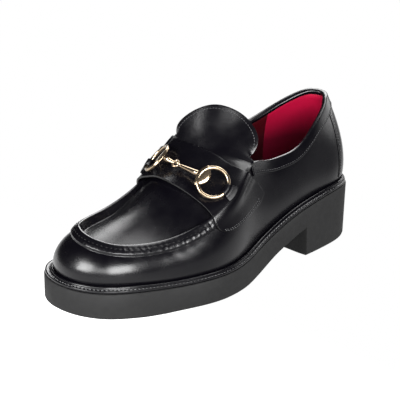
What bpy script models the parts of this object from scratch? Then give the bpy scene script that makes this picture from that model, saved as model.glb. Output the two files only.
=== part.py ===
"""Horsebit loafer, left shoe, as separate solids: sole unit, welt, insole, upper, tongue, saddle, trims and bit.

Sizes are in millimetres and MM turns them into Blender's metres. Along the shoe, s runs from the back of the sole
to the toe, t runs from the medial to the lateral side, and z is the height above the floor.
"""

import math

import bmesh
import bpy
import numpy as np
from mathutils import Matrix, Vector

MM = 0.001

# The last: one row for each section, from the heel round the lateral side to the toe and back on the medial side.
# foot_s, foot_t: where the upper meets the welt; welt: how far the sole stands out beyond that line;
# rise, inset: how high above the welt and how far inside that line the section's top edge lies;
# belly, shoulder: how far the section swells outwards low down and just under its top edge.
LAST = (
    # section, foot_s, foot_t, welt, rise, inset, belly, shoulder
    ("heel_back", 4.5, 0.0, 4.5, 64.0, 9.5, 4.0, 2.0),
    ("heel_back_lateral", 14.5, 19.5, 4.5, 62.0, 12.0, 6.5, 4.5),
    ("heel_lateral", 40.0, 27.0, 6.0, 53.2, 7.0, 4.0, 3.0),
    ("seat_lateral", 73.0, 30.0, 6.5, 41.9, 4.5, 4.0, 3.0),
    ("throat_lateral", 118.0, 35.0, 6.0, 58.0, 6.0, 4.0, 2.0),
    ("instep_lateral", 142.0, 42.5, 5.5, 49.4, 5.5, 5.0, 4.0),
    ("joint_lateral", 168.0, 46.5, 5.5, 36.0, 9.5, 5.0, 9.0),
    ("fore_lateral", 212.0, 37.0, 5.5, 25.7, 10.0, 5.0, 10.0),
    ("toe_lateral", 249.5, 22.5, 7.0, 25.0, 14.5, 5.0, 11.0),
    ("toe_tip", 261.0, -4.5, 6.5, 27.7, 18.0, 5.0, 10.0),
    ("toe_medial", 251.0, -31.0, 7.5, 28.4, 19.0, 5.0, 11.0),
    ("fore_medial", 221.5, -41.0, 7.0, 30.5, 14.5, 5.0, 10.0),
    ("joint_medial", 180.0, -40.0, 6.5, 38.5, 10.5, 5.0, 9.0),
    ("instep_medial", 156.0, -34.5, 6.0, 49.5, 1.5, 5.0, 4.0),
    ("throat_medial", 135.0, -29.5, 6.0, 68.1, -2.5, 4.0, 2.0),
    ("seat_medial", 85.0, -26.5, 5.5, 53.3, 0.0, 4.0, 3.0),
    ("heel_medial", 40.0, -27.0, 5.0, 56.7, 7.0, 4.0, 3.0),
    ("heel_back_medial", 14.0, -19.5, 4.5, 64.0, 11.5, 4.0, 3.0),
)
SECTION = {row[0]: number for number, row in enumerate(LAST)}
FOOT_S, FOOT_T, WELT, RISE, INSET, BELLY, SHOULDER = range(7)
BELLY_HEIGHT = 0.38
SHOULDER_DROP = 0.12

# The instep's crest, from the throat (along 0) to the toe tip (along 1).
CREST = (
    # along, s, t, z
    (0.0, 140.0, -1.0, 93.0),
    (0.15, 155.0, -1.0, 82.5),
    (0.3, 170.0, -1.5, 76.0),
    (0.5, 190.0, -2.0, 70.0),
    (0.7, 211.0, -3.0, 63.0),
    (0.85, 227.0, -4.0, 57.5),
    (1.0, 243.0, -4.5, 53.0),
)
CROWN_POWER, FLAT_POWER = 0.9, 1.3

# The plug lies below the instep's line, inside the raised seam: CREST_SINK is how deep its crest has sunk, and
# SEAM_SINK and SEAM_IN are how far its edge lies down and in.
PLUG_BACK = 0.12
CREST_SINK = (
    # along, depth
    (0, 0), (0.15, 0), (0.25, 1.6), (0.3, 3), (0.4, 5.9), (0.5, 8), (0.6, 8.4), (0.7, 7.5), (0.85, 5.2), (1, 3.5),
)
SUNK_FROM = 0.5
SEAM_SINK, SEAM_IN = 3.0, 2.2

# The tongue's free edge, from its lateral to its medial corner.
TONGUE_EDGE = (
    # step, s, t, z
    (0, 115.0, 28.4, 90.5),
    (1, 109.0, 26.5, 100.7),
    (2, 109.0, 15.0, 112.0),
    (3, 116.0, 3.0, 119.0),
    (4, 123.5, -8.5, 119.3),
    (5, 130.3, -21.0, 112.0),
    (6, 135.0, -28.8, 102.5),
    (7, 136.0, -29.3, 94.5),
)

# The saddle's edges across the shoe: w is -1 and 1 on the two seams, and beyond them it runs down the wings.
SADDLE_EDGES = (
    # w, along at the upper edge, along at the front edge
    (-2.0, -0.03, 0.2),
    (-1.5, 0.0, 0.21),
    (-1.0, 0.055, 0.215),
    (-0.5, 0.0, 0.265),
    (0.0, 0.0, 0.32),
    (0.5, 0.025, 0.315),
    (1.0, 0.06, 0.295),
    (1.5, 0.0, 0.3),
    (2.0, -0.05, 0.285),
)
# How far each wing reaches below the seam, from the upper edge (share 0) to the front edge (share 1).
SADDLE_WING = (
    # share, depth
    (0.0, 22.5),
    (0.08, 27.5),
    (0.2, 29.5),
    (0.4, 27.0),
    (0.7, 20.0),
    (0.9, 15.5),
    (1.0, 11.5),
)

RUBBER_TOP = (
    # s, z
    (0, 39.5), (38, 39.9), (57, 38.2), (73, 35.6), (93, 30.0), (110, 24.4), (125, 20.3), (140, 18.2), (177, 17.8),
    (205, 18.0), (222, 19.5), (240, 21.5), (253, 22.3), (270, 22.1),
)
# The underside from the heel breast to where the forefoot lies flat, and from there to the toe.
ARCH = (
    # s, z
    (66, 21.5), (76, 19.0), (84, 16.5), (93, 13.4), (102, 10.0), (110, 6.7), (118, 3.8), (126, 1.9), (136, 0.4),
    (152, 0.0), (168, 0.0),
)
TOE_SPRING = ((212, 0.0), (226, 1.1), (241, 2.8), (255, 3.7), (270, 4.2))
BREAST_S = 66.5
FLAT_FROM, FLAT_TO = 168.0, 212.0
HEEL_TAPER = 3.0
SOLE_CHAMFER = 1.2

WALL = 1.8
SEAT_GAP = 0.3
WELT_THICK = 2.5
WELT_INSET = 0.8
BEAD_WIDTH, BEAD_HEIGHT, BEAD_LEAN = 3.0, 1.6, 0.6
INSOLE_THICK = 3.0

# The raised moc seam: its height above the wall at each distance below the wall's top edge, and halfway down its inside.
RIDGE = ((0.0, 2.7), (0.9, 3.2), (2.4, 3.1), (5.0, 2.4), (7.0, 1.7), (8.2, 0.0))
RIDGE_INSIDE = (0.4, 1.2)
RIDGE_FADE = 0.08
TONGUE_THICK = 1.8
TONGUE_SIDE = 0.9
SADDLE_THICK = 1.4
SADDLE_GAP = 0.4
SADDLE_HUMP, HUMP_AT, HUMP_WIDTH = 3.5, 3.0, 8.0
PLUG_HALF_WIDTH = 30.0
BINDING_THICK = 0.9
BINDING_OUTER, BINDING_INNER = (8.2, 7.0, 5.0, 2.4, 0.9), (1.0, 2.0)
BINDING_END = 4.0
BACKSTAY_HALF, BACKSTAY_THICK = 7.0, 1.0
BACKSTAY_FOOT = 0.06

# The bit: two rings, and a bar in two halves that links at the centre.
RING_RADIUS, RING_WIRE = 10.9, 1.35
RING_SIDES, WIRE_SIDES = 32, 8
RUNNING_GAP = 0.3
BIT_CENTRE = (161.4, -1.6, 85.7)
BIT = {
    # side: ring centre, ring normal, point that the loop heads for
    "lateral": ((156.5, 29.8, 79.2), (0.53, 0.58, 0.62), (148.4, 43.9, 71.6)),
    "medial": ((160.2, -23.8, 84.0), (0.515, -0.51, 0.69), (160.6, -37.8, 72.7)),
}
BARREL_LONG, BARREL_WIDE, BARREL_DEEP = 6.2, 4.4, 2.9
BARREL_INSET = 1.7
BAR_THICK, BAR_THIN = 2.1, 1.3
EYE_RADIUS, EYE_WIRE = 2.3, 0.8
LOOP_HALF_ANGLE = 20.0
LOOP_THICK = 0.8

COLUMNS_JOIN, COLUMNS_FRONT, COLUMNS_SIDE, COLUMNS_HEEL = 3, 20, 8, 20
PLUG_COLUMNS = 8

MATERIALS = {
    # name: colour, roughness, metallic
    "black_leather": ((0.012, 0.012, 0.013), 0.28, 0.0),
    "lining_leather": ((0.45, 0.01, 0.07), 0.55, 0.0),
    "grey_rubber": ((0.075, 0.075, 0.075), 0.7, 0.0),
    "pale_gilt": ((0.80, 0.68, 0.50), 0.18, 1.0),
}


def ring_spline(rows):
    """Knots and function of a closed cubic spline, run by the length between the rows' first two columns."""
    values = np.asarray(rows, float)
    count = len(values)
    steps = np.linalg.norm(np.roll(values, -1, 0)[:, :2] - values[:, :2], axis=1)
    knots = np.concatenate([[0.0], np.cumsum(steps)])
    matrix = np.zeros((count, count))
    right = np.zeros_like(values)
    for i in range(count):
        after = (i + 1) % count
        matrix[i, i - 1] += steps[i - 1]
        matrix[i, i] += 2 * (steps[i - 1] + steps[i])
        matrix[i, after] += steps[i]
        slope_in = (values[i] - values[i - 1]) / steps[i - 1]
        right[i] = 6 * ((values[after] - values[i]) / steps[i] - slope_in)
    bend = np.linalg.solve(matrix, right)

    def at(u):
        u = np.mod(u, knots[-1])
        i = np.clip(np.searchsorted(knots, u, "right") - 1, 0, count - 1)
        j = (i + 1) % count
        return cubic(u - knots[i], steps[i], values[i], values[j], bend[i], bend[j])

    return knots, at


def line_spline(rows):
    """Function of a natural cubic spline through rows of x and one or more values."""
    rows = np.asarray(rows, float)
    x, values = rows[:, 0], rows[:, 1:]
    steps = np.diff(x)
    count = len(x)
    matrix = np.eye(count)
    right = np.zeros_like(values)
    for i in range(1, count - 1):
        matrix[i, i - 1:i + 2] = steps[i - 1], 2 * (steps[i - 1] + steps[i]), steps[i]
        slope_in = (values[i] - values[i - 1]) / steps[i - 1]
        right[i] = 6 * ((values[i + 1] - values[i]) / steps[i] - slope_in)
    bend = np.linalg.solve(matrix, right)

    def at(q):
        q = np.clip(q, x[0], x[-1])
        i = np.clip(np.searchsorted(x, q, "right") - 1, 0, count - 2)
        return cubic(q - x[i], steps[i], values[i], values[i + 1], bend[i], bend[i + 1])

    return at


def cubic(along, step, start, end, bend_start, bend_end):
    """One span of a cubic spline, from its end values and end bends."""
    done = np.asarray(along)[..., None]
    step = np.asarray(step)[..., None]
    left = step - done
    curve = (bend_start * left**3 + bend_end * done**3) / (6 * step)
    return curve + (start / step - bend_start * step / 6) * left + (end / step - bend_end * step / 6) * done


KNOTS, last_row = ring_spline([row[1:] for row in LAST])
LAP = KNOTS[-1]
U_LATERAL = KNOTS[SECTION["throat_lateral"]]
U_TIP = KNOTS[SECTION["toe_tip"]]
U_MEDIAL = KNOTS[SECTION["throat_medial"]]
crest = line_spline(CREST)
crest_sink = line_spline(CREST_SINK)
tongue_edge = line_spline(TONGUE_EDGE)
saddle_edges = line_spline(SADDLE_EDGES)
saddle_wing = line_spline(SADDLE_WING)
top_spline = line_spline(RUBBER_TOP)
arch_spline = line_spline(ARCH)
toe_spline = line_spline(TOE_SPRING)


def rubber_top(s):
    return top_spline(np.asarray(s, float))[..., 0]


def rubber_bottom(s):
    """Underside of the sole ahead of the heel: the arch, the flat forefoot and the toe spring."""
    s = np.asarray(s, float)
    arch = np.maximum(arch_spline(s)[..., 0], 0.0)
    spring = np.maximum(toe_spline(s)[..., 0], 0.0)
    return np.where(s < FLAT_FROM, arch, np.where(s > FLAT_TO, spring, 0.0))


def unit(vectors):
    return vectors / np.linalg.norm(vectors, axis=-1)[..., None]


def section(u):
    """The last's row at u and the outward direction of the outline there, in plan."""
    run = unit((last_row(u + 0.05) - last_row(u - 0.05))[..., :2])
    return last_row(u), np.stack([-run[..., 1], run[..., 0]], -1)


def outline(u, out):
    """Plan points of the line where the upper meets the welt, moved outwards."""
    row, normal = section(u)
    return row[..., :2] + np.asarray(out)[..., None] * normal


def wall(u, v):
    """The upper's side wall: v is 0 on the welt and 1 on the topline or the seam."""
    row, normal = section(u)
    out = np.concatenate([normal, np.zeros_like(normal[..., :1])], -1)
    up = np.array([0.0, 0.0, 1.0])
    rise = row[..., RISE, None] * up
    foot_z = rubber_top(row[..., FOOT_S]) + WELT_THICK
    foot = np.concatenate([row[..., :2], foot_z[..., None]], -1)
    top = foot - row[..., INSET, None] * out + rise
    low = foot + row[..., BELLY, None] * out + BELLY_HEIGHT * rise
    high = top + row[..., SHOULDER, None] * out - SHOULDER_DROP * rise
    v = np.asarray(v, float)[..., None]
    w = 1 - v
    return w**3 * foot + 3 * v * w**2 * low + 3 * v**2 * w * high + v**3 * top


def wall_normal(u, v):
    step = 1e-3
    along = wall(u + 0.1, v) - wall(u - 0.1, v)
    up = wall(u, np.minimum(v + step, 1.0)) - wall(u, np.maximum(v - step, 0.0))
    return unit(np.cross(up, along))


def wall_share(u, drop):
    """The v at a distance below the wall's top edge."""
    v = np.linspace(1, 0, 61)
    found = []
    for one_u, one_drop in zip(*np.broadcast_arrays(np.asarray(u, float), np.asarray(drop, float))):
        steps = np.linalg.norm(np.diff(wall(np.full(61, one_u), v), axis=0), axis=1)
        found.append(np.interp(one_drop, np.concatenate([[0.0], np.cumsum(steps)]), v))
    return np.array(found)


def side_u(along, side):
    """The u of the row at this place between throat and toe tip, on the lateral (1) or medial (-1) side."""
    end = U_LATERAL if side > 0 else U_MEDIAL
    return end + np.asarray(along, float) * (U_TIP - end)


def smooth_step(x):
    x = np.clip(x, 0.0, 1.0)
    return x * x * (3 - 2 * x)


def span(lateral, medial, top, across, power):
    """A crowned sheet between two edges: across is -1 on the medial edge and 1 on the lateral edge."""
    chord = medial + ((1 + across) / 2)[..., None] * (lateral - medial)
    crown = np.clip(1 - across**2, 0, 1) ** power
    return chord + crown[..., None] * (top - (lateral + medial) / 2)


def instep(along, across):
    """The instep between the two top edges, which tongue and saddle follow."""
    along, across = np.broadcast_arrays(np.asarray(along, float), np.asarray(across, float))
    top = np.ones_like(along)
    return span(wall(side_u(along, 1), top), wall(side_u(along, -1), top), crest(along), across, CROWN_POWER)


def plug_depth(along):
    """How far the plug has sunk inside the seam, from 0 at the throat to 1 at the toe."""
    return smooth_step((np.asarray(along, float) - PLUG_BACK) / (SUNK_FROM - PLUG_BACK))


def plug_edge(u, along):
    """The line where the plug meets the inside of the raised seam."""
    _, normal = section(u)
    depth = plug_depth(along)[..., None]
    inwards = np.concatenate([-SEAM_IN * normal, np.full_like(normal[..., :1], -SEAM_SINK)], -1)
    return wall(u, np.ones_like(u)) + depth * inwards


def plug(along, across):
    """The plug inside the raised seam: across is -1 on its medial edge and 1 on its lateral edge."""
    along, across = np.broadcast_arrays(np.asarray(along, float), np.asarray(across, float))
    lateral, medial = (plug_edge(side_u(along, side), along) for side in (1, -1))
    sink = np.maximum(crest_sink(along)[..., 0], 0.0)
    sunk = np.stack([SEAM_IN * np.clip(along, 0, 1) ** 3, 0 * along, sink], -1)
    power = FLAT_POWER + (CROWN_POWER - FLAT_POWER) * (1 - plug_depth(along))
    return span(lateral, medial, crest(along) - sunk, across, power)


def sheet_normal(surface, along, across):
    """Upward normal of the instep or the plug."""
    step = 1e-3
    ahead = surface(along + step, across) - surface(along - step, across)
    right = surface(along, np.minimum(across + step, 1.0)) - surface(along, np.maximum(across - step, -1.0))
    return unit(np.cross(ahead, right))


def ridge_height(drop, along):
    """Height of the moc seam, which dies away towards the throat."""
    rows = np.asarray(RIDGE)
    return np.interp(drop, rows[:, 0], rows[:, 1]) * smooth_step(np.asarray(along) / RIDGE_FADE)


def saddle_base(along, w):
    """A point of the upper and its outward normal: w within 1 is on the plug, beyond 1 it is a drop down a wall."""
    if abs(w) <= 1:
        point, normal = instep(along, w), sheet_normal(instep, along, w)
        away = -(1 - abs(w)) * PLUG_HALF_WIDTH
    else:
        away = (abs(w) - 1) * PLUG_HALF_WIDTH
        u = side_u(along, math.copysign(1, w))
        v = wall_share([u], [away])[0]
        point, normal = wall(u, v), wall_normal(u, v)
    return point, normal, away


MIDDLE_S = 133.765
MIDDLE_T = 1.68


def to_world(points):
    """Shoe sizes in millimetres to metres, with the origin under the middle of the sole."""
    return (np.asarray(points, float) - np.array([MIDDLE_S, MIDDLE_T, 0.0])) * MM


def make_object(name, points, faces, material):
    """A mesh object whose faces are turned to point out."""
    mesh = bpy.data.meshes.new(name)
    mesh.from_pydata(to_world(points).tolist(), [], faces)
    work = bmesh.new()
    work.from_mesh(mesh)
    bmesh.ops.remove_doubles(work, verts=work.verts, dist=1e-6)
    bmesh.ops.recalc_face_normals(work, faces=work.faces)
    work.to_mesh(mesh)
    work.free()
    mesh.materials.append(material)
    mesh.shade_smooth()
    mesh.set_sharp_from_angle(angle=math.radians(35))
    piece = bpy.data.objects.new(name, mesh)
    bpy.context.scene.collection.objects.link(piece)
    return piece


def make_material(name):
    colour, roughness, metallic = MATERIALS[name]
    material = bpy.data.materials.new(name)
    material.use_nodes = True
    shader = material.node_tree.nodes["Principled BSDF"]
    shader.inputs["Base Color"].default_value = (*colour, 1.0)
    shader.inputs["Roughness"].default_value = roughness
    shader.inputs["Metallic"].default_value = metallic
    return material


def grid_faces(rows, columns, start=0, closed=False):
    """Quads between the rows of a grid of points."""
    faces = []
    for r in range(rows - 1):
        for c in range(columns if closed else columns - 1):
            d = (c + 1) % columns
            first, second = start + r * columns, start + (r + 1) * columns
            faces.append((first + c, first + d, second + d, second + c))
    return faces


def shell(outer, inner):
    """Points and faces of a closed sheet between two grids of points of one size."""
    rows, columns = outer.shape[:2]
    half = rows * columns
    points = np.concatenate([outer.reshape(-1, 3), inner.reshape(-1, 3)])
    faces = grid_faces(rows, columns)
    faces += [tuple(half + i for i in reversed(face)) for face in faces]
    rim = [c for c in range(columns)]
    rim += [r * columns + columns - 1 for r in range(1, rows)]
    rim += [(rows - 1) * columns + c for c in reversed(range(columns - 1))]
    rim += [r * columns for r in reversed(range(1, rows - 1))]
    for a, b in zip(rim, rim[1:] + rim[:1]):
        faces.append((b, a, half + a, half + b))
    return points, faces


def plan_spans(out, stations):
    """Medial and lateral t of the moved outline at each s."""
    u = np.linspace(0, LAP, 801)
    width = last_row(u)[:, WELT] if out is None else np.full(801, out)
    plan = outline(u, width)
    first, last = plan[:, 0].argmin(), plan[:, 0].argmax()
    ring = np.roll(plan[:-1], -first, axis=0)
    turn = (last - first) % 800
    lateral, medial = ring[:turn + 1], np.concatenate([ring[turn:], ring[:1]])[::-1]
    return (
        np.interp(stations, medial[:, 0], medial[:, 1]),
        np.interp(stations, lateral[:, 0], lateral[:, 1]),
        (ring[:, 0].min(), ring[:, 0].max()),
    )


def stations_between(start, end, count):
    """Places along the shoe, closer together where the outline turns round at its two ends."""
    angle = np.linspace(0, math.pi, count)
    return start + (end - start) * (1 - np.cos(angle)) / 2


def make_outsole(material):
    """The sole unit: block heel, arch, flat forefoot and toe spring in one moulding."""
    end_cut = 0.12
    low, high = plan_spans(None, [0.0])[2]
    s = stations_between(low + end_cut, high - end_cut, 34)
    s = np.sort(np.append(s[np.abs(s - BREAST_S) > 3], BREAST_S))
    medial, lateral, _ = plan_spans(None, s)
    breast = int(np.argmin(np.abs(s - BREAST_S)))
    points, rows = [], []

    def add_row(i, bottom):
        """Six points round the section: top, side and underside, lateral then medial."""
        top = float(rubber_top(s[i]))
        chamfer = min(SOLE_CHAMFER, (lateral[i] - medial[i]) / 4)
        low_s = s[i] + HEEL_TAPER * max(0.0, 1 - s[i] / BREAST_S)
        section_points = (
            (lateral[i], top), (lateral[i], bottom + SOLE_CHAMFER), (lateral[i] - chamfer, bottom),
            (medial[i] + chamfer, bottom), (medial[i], bottom + SOLE_CHAMFER), (medial[i], top),
        )
        row = []
        for t, z in section_points:
            row.append(len(points))
            points.append((s[i] if z == top else low_s, t, z))
        return row

    for i in range(breast + 1):
        rows.append(add_row(i, 0.0))
    heel_end = rows[breast]
    arch = add_row(breast, float(rubber_bottom(BREAST_S)))
    arch[0], arch[5] = heel_end[0], heel_end[5]
    rows.append(arch)
    for i in range(breast + 1, len(s)):
        rows.append(add_row(i, float(rubber_bottom(s[i]))))
    faces = [tuple(rows[0]), tuple(reversed(rows[-1]))]
    for i, (row, after) in enumerate(zip(rows, rows[1:])):
        if i == breast:
            faces.append((heel_end[1], heel_end[2], heel_end[3], heel_end[4], arch[4], arch[3], arch[2], arch[1]))
            continue
        for c in range(6):
            d = (c + 1) % 6
            face = [row[c], row[d], after[d], after[c]]
            if i == breast - 1 and (c, d) == (0, 1):
                face = [row[0], row[1], heel_end[1], arch[1], heel_end[0]]
            if i == breast - 1 and (c, d) == (4, 5):
                face = [row[4], row[5], heel_end[5], arch[4], heel_end[4]]
            faces.append(tuple(face))
    return make_object("outsole", points, faces, material)


def make_welt(material):
    """The welt: a flat strip on the sole's rim with a raised bead against the upper."""
    u, _ = upper_columns()
    row, _ = section(u)
    outer = row[:, WELT] - WELT_INSET
    profile = (
        # distance outside the upper, height above the rubber
        (np.full_like(u, SEAT_GAP), SEAT_GAP),
        (outer, SEAT_GAP),
        (outer, WELT_THICK - 0.4),
        (outer - 0.4, WELT_THICK),
        (np.full_like(u, BEAD_WIDTH + SEAT_GAP), WELT_THICK),
        (np.full_like(u, 0.75 * BEAD_WIDTH + SEAT_GAP), WELT_THICK + 0.8 * BEAD_HEIGHT),
        (np.full_like(u, 0.45 * BEAD_WIDTH + SEAT_GAP), WELT_THICK + BEAD_HEIGHT),
        (np.full_like(u, SEAT_GAP + BEAD_LEAN), WELT_THICK + 0.5 * BEAD_HEIGHT),
    )
    rings = []
    for out, height in profile:
        plan = outline(u, out)
        rings.append(np.column_stack([plan, rubber_top(plan[:, 0]) + height]))
    points = np.concatenate(rings + rings[:1])
    faces = grid_faces(len(rings) + 1, len(u), closed=True)
    return make_object("welt", points, faces, material)


def make_insole(material):
    """The insole: a sock on the sole's top, inside the upper's wall."""
    inside = -(WALL + SEAT_GAP + 0.3)
    low, high = plan_spans(inside, [0.0])[2]
    s = stations_between(low + 0.1, high - 0.1, 30)
    medial, lateral, _ = plan_spans(inside, s)
    points = []
    for height in (SEAT_GAP, SEAT_GAP + INSOLE_THICK):
        z = rubber_top(s) + height
        points.append(np.stack([np.column_stack([s, lateral, z]), np.column_stack([s, medial, z])], 1))
    return make_object("insole", *shell(points[1], points[0]), material)


def upper_columns():
    """u and along of each column round the upper, from the lateral throat round the toe and the heel."""
    join = np.linspace(0, PLUG_BACK, COLUMNS_JOIN + 1)[:-1]
    front = np.linspace(PLUG_BACK, 1, COLUMNS_FRONT + 1)
    along = np.concatenate([join, front])
    heel = heel_columns()[1:-1]
    u = np.concatenate([side_u(along, 1), side_u(along[-2::-1], -1), heel])
    return u, np.concatenate([along, along[-2::-1], np.full(len(heel), -1.0)])


def heel_columns():
    """u of the columns along the topline, from the medial to the lateral throat, closest round the heel."""
    heel_medial, heel_lateral = KNOTS[SECTION["heel_medial"]], LAP + KNOTS[SECTION["heel_lateral"]]
    return np.concatenate([
        np.linspace(U_MEDIAL, heel_medial, COLUMNS_SIDE + 1)[:-1],
        np.linspace(heel_medial, heel_lateral, COLUMNS_HEEL + 1)[:-1],
        np.linspace(heel_lateral, LAP + U_LATERAL, COLUMNS_SIDE + 1),
    ])


def make_upper(material):
    """Vamp, quarters and plug as one hollow wall, open at the collar and underneath."""
    u, along = upper_columns()
    count = len(u)
    tip = COLUMNS_JOIN + COLUMNS_FRONT
    ridge_drops = [row[0] for row in reversed(RIDGE)]
    foot_of_ridge = wall_share(u, np.full(count, ridge_drops[0] + 0.6))
    across = np.linspace(1, -1, PLUG_COLUMNS + 1)[1:-1]
    top_normal = wall_normal(u, np.ones(count))
    for i in range(count):
        if along[i] >= PLUG_BACK:
            side = 1.0 if i <= tip else -1.0
            at = min(along[i], 0.995)
            top_normal[i] = unit(top_normal[i] + sheet_normal(plug, np.array(at), np.array(0.97 * side)))

    def sheet(depth, shares, drops, ridge):
        """Points of one face of the wall: a foot row, the wall rows, then the plug's inner points."""
        foot = outline(u, np.full(count, -depth))
        rows = [np.column_stack([foot, rubber_top(foot[:, 0]) + SEAT_GAP])]
        for share in shares:
            v = share * foot_of_ridge
            rows.append(wall(u, v) - depth * wall_normal(u, v))
        for drop in drops:
            v = wall_share(u, np.full(count, drop))
            normal = wall_normal(u, v) if drop > 0 else top_normal
            raised = ridge * ridge_height(drop, along)
            rows.append(wall(u, v) + (raised - depth)[:, None] * normal)
        top, edge = wall(u, np.ones(count)), plug_edge(u, along)
        for share, height in ((RIDGE_INSIDE, (1.0, 0.0)) if ridge else ((1.0, 0.0),)):
            raised = height * smooth_step(along / RIDGE_FADE) - depth
            rows.append(top + share * (edge - top) + raised[:, None] * top_normal)
        inner = []
        for j in range(COLUMNS_FRONT):
            at = np.full(len(across), along[COLUMNS_JOIN + j])
            inner.append(plug(at, across) - depth * sheet_normal(plug, at, across))
        return np.concatenate(rows + inner), len(rows)

    def faces_of(rows, start):
        faces = grid_faces(rows, count, start, closed=True)
        edge = start + (rows - 1) * count
        inner = start + rows * count
        lines = []
        for j in range(COLUMNS_FRONT):
            lateral, medial = COLUMNS_JOIN + j, 2 * tip - COLUMNS_JOIN - j
            middle = [inner + j * len(across) + c for c in range(len(across))]
            lines.append([edge + lateral] + middle + [edge + medial])
        for line, after in zip(lines, lines[1:]):
            faces += [(line[c], line[c + 1], after[c + 1], after[c]) for c in range(PLUG_COLUMNS)]
        faces += [(lines[-1][c], lines[-1][c + 1], edge + tip) for c in range(PLUG_COLUMNS)]
        rim = [edge + i % count for i in range(2 * tip - COLUMNS_JOIN, count + COLUMNS_JOIN + 1)]
        return faces, rim + lines[0][1:-1], [start + i for i in range(count)]

    outside, outer_rows = sheet(0.0, (0.0, 0.2, 0.42, 0.68, 1.0), ridge_drops, 1.0)
    inside, inner_rows = sheet(WALL, (0.0, 0.25, 0.6, 1.0), (5.0, 2.0), 0.0)
    outer_faces, outer_rim, outer_foot = faces_of(outer_rows, 0)
    inner_faces, inner_rim, inner_foot = faces_of(inner_rows, len(outside))
    faces = outer_faces + [tuple(reversed(face)) for face in inner_faces]
    for outer_loop, inner_loop in ((outer_rim, inner_rim), (outer_foot, inner_foot)):
        pairs = list(zip(outer_loop, inner_loop))
        for (a, b), (c, d) in zip(pairs, pairs[1:] + pairs[:1]):
            faces.append((a, c, d, b))
    return make_object("upper", np.concatenate([outside, inside]), faces, material)


def make_tongue(material):
    """The tongue: it carries the plug's surface on from under the saddle and stands up to a rounded free edge."""
    across = np.linspace(TONGUE_SIDE, -TONGUE_SIDE, 15)
    base = PLUG_BACK - 0.006
    steps = (TONGUE_SIDE - across) / (2 * TONGUE_SIDE) * TONGUE_EDGE[-1][0]
    rows = [instep(np.full(15, at), across) for at in (base, 0.5 * base, 0.0)]
    start, end = rows[-1], tongue_edge(steps)
    rows += [start + share * (end - start) for share in (0.25, 0.5, 0.75, 1.0)]
    outer = np.array(rows)
    ahead = np.gradient(outer, axis=0)
    right = np.gradient(outer, axis=1)
    normal = unit(np.cross(ahead, right))
    return make_object("tongue", *shell(outer, outer - TONGUE_THICK * normal), material)


def saddle_sheet(shares, places, lift):
    """Points of the saddle at a height above the upper, on a grid of shares (upper to front edge) and places across."""
    sheet = np.zeros((len(shares), len(places), 3))
    for r, share in enumerate(shares):
        wing = float(saddle_wing(share)[0]) / PLUG_HALF_WIDTH
        for c, place in enumerate(places):
            edge_w = float(np.clip(place, -2, 2))
            upper_edge, front_edge = saddle_edges(edge_w)
            along = upper_edge + share * (front_edge - upper_edge)
            w = place if abs(place) <= 1 else math.copysign(1 + (abs(place) - 1) * wing, place)
            point, normal, away = saddle_base(along, w)
            if abs(away) < 6:
                side = math.copysign(1, w)
                near_wall = saddle_base(along, side * (1 + 3 / PLUG_HALF_WIDTH))[1]
                near_plug = saddle_base(along, side * (1 - 3 / PLUG_HALF_WIDTH))[1]
                mix = smooth_step((away + 6) / 12)
                normal = unit((1 - mix) * near_plug + mix * near_wall)
            hump = SADDLE_HUMP * math.exp(-(((away - HUMP_AT) / HUMP_WIDTH) ** 2))
            sheet[r, c] = point + (SADDLE_GAP + hump + lift) * normal
    return sheet


def make_saddle(material):
    """The saddle: a wide strap draped over plug and seams, with a rounded wing on each side."""
    shares = np.concatenate([[0.0, 0.07], np.linspace(0.18, 0.88, 5), [0.96, 1.0]])
    side = np.concatenate([np.linspace(0, 0.75, 5)[:-1], np.linspace(0.75, 1.35, 8)[:-1], np.linspace(1.35, 2, 5)])
    places = np.concatenate([-side[:0:-1], side])
    under = saddle_sheet(shares, places, 0.0)
    return make_object("saddle", *shell(saddle_sheet(shares, places, SADDLE_THICK), under), material)


def make_binding(material):
    """The collar binding: a band folded over the topline, from one throat corner round the heel to the other."""
    first, last = U_MEDIAL + BINDING_END, LAP + U_LATERAL - BINDING_END
    columns = heel_columns()
    u = np.concatenate([[first], columns[(columns > first + 2) & (columns < last - 2)], [last]])
    top, normal = wall(u, np.ones_like(u)), wall_normal(u, np.ones_like(u))
    up = unit(top - wall(u, wall_share(u, np.full_like(u, 2.0))))
    near, far = SEAT_GAP, SEAT_GAP + BINDING_THICK

    def leg(drop, out):
        v = wall_share(u, np.full_like(u, drop))
        return wall(u, v) + out * wall_normal(u, v)

    lines = [leg(drop, far) for drop in BINDING_OUTER]
    lines += [
        top + far * normal,
        top + 0.4 * far * normal + far * up,
        top - (WALL + 0.4 * far) * normal + far * up,
        top - (WALL + far) * normal,
    ]
    lines += [leg(drop, -WALL - far) for drop in BINDING_INNER]
    lines += [leg(drop, -WALL - near) for drop in reversed(BINDING_INNER)]
    lines += [top - (WALL + near) * normal + near * up, top + near * normal + near * up]
    lines += [leg(drop, near) for drop in reversed(BINDING_OUTER)]
    count = len(u)
    points = np.concatenate(lines + lines[:1])
    faces = grid_faces(len(lines) + 1, count)
    for end in (0, count - 1):
        faces.append(tuple(i * count + end for i in range(len(lines))))
    return make_object("collar_binding", points, faces, material)


def make_backstay(material):
    """The backstay: a narrow strip over the back seam, from above the welt's bead to the collar binding."""
    u = LAP + np.linspace(-BACKSTAY_HALF, BACKSTAY_HALF, 7)
    top = wall_share(u, np.full_like(u, BINDING_OUTER[0] + 0.5))
    faces_at = []
    for lift in (SEAT_GAP + BACKSTAY_THICK, SEAT_GAP):
        rows = []
        for share in np.linspace(0, 1, 9):
            v = BACKSTAY_FOOT + share * (top - BACKSTAY_FOOT)
            rows.append(wall(u, v) + lift * wall_normal(u, v))
        faces_at.append(np.array(rows))
    return make_object("backstay", *shell(*faces_at), material)


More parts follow.
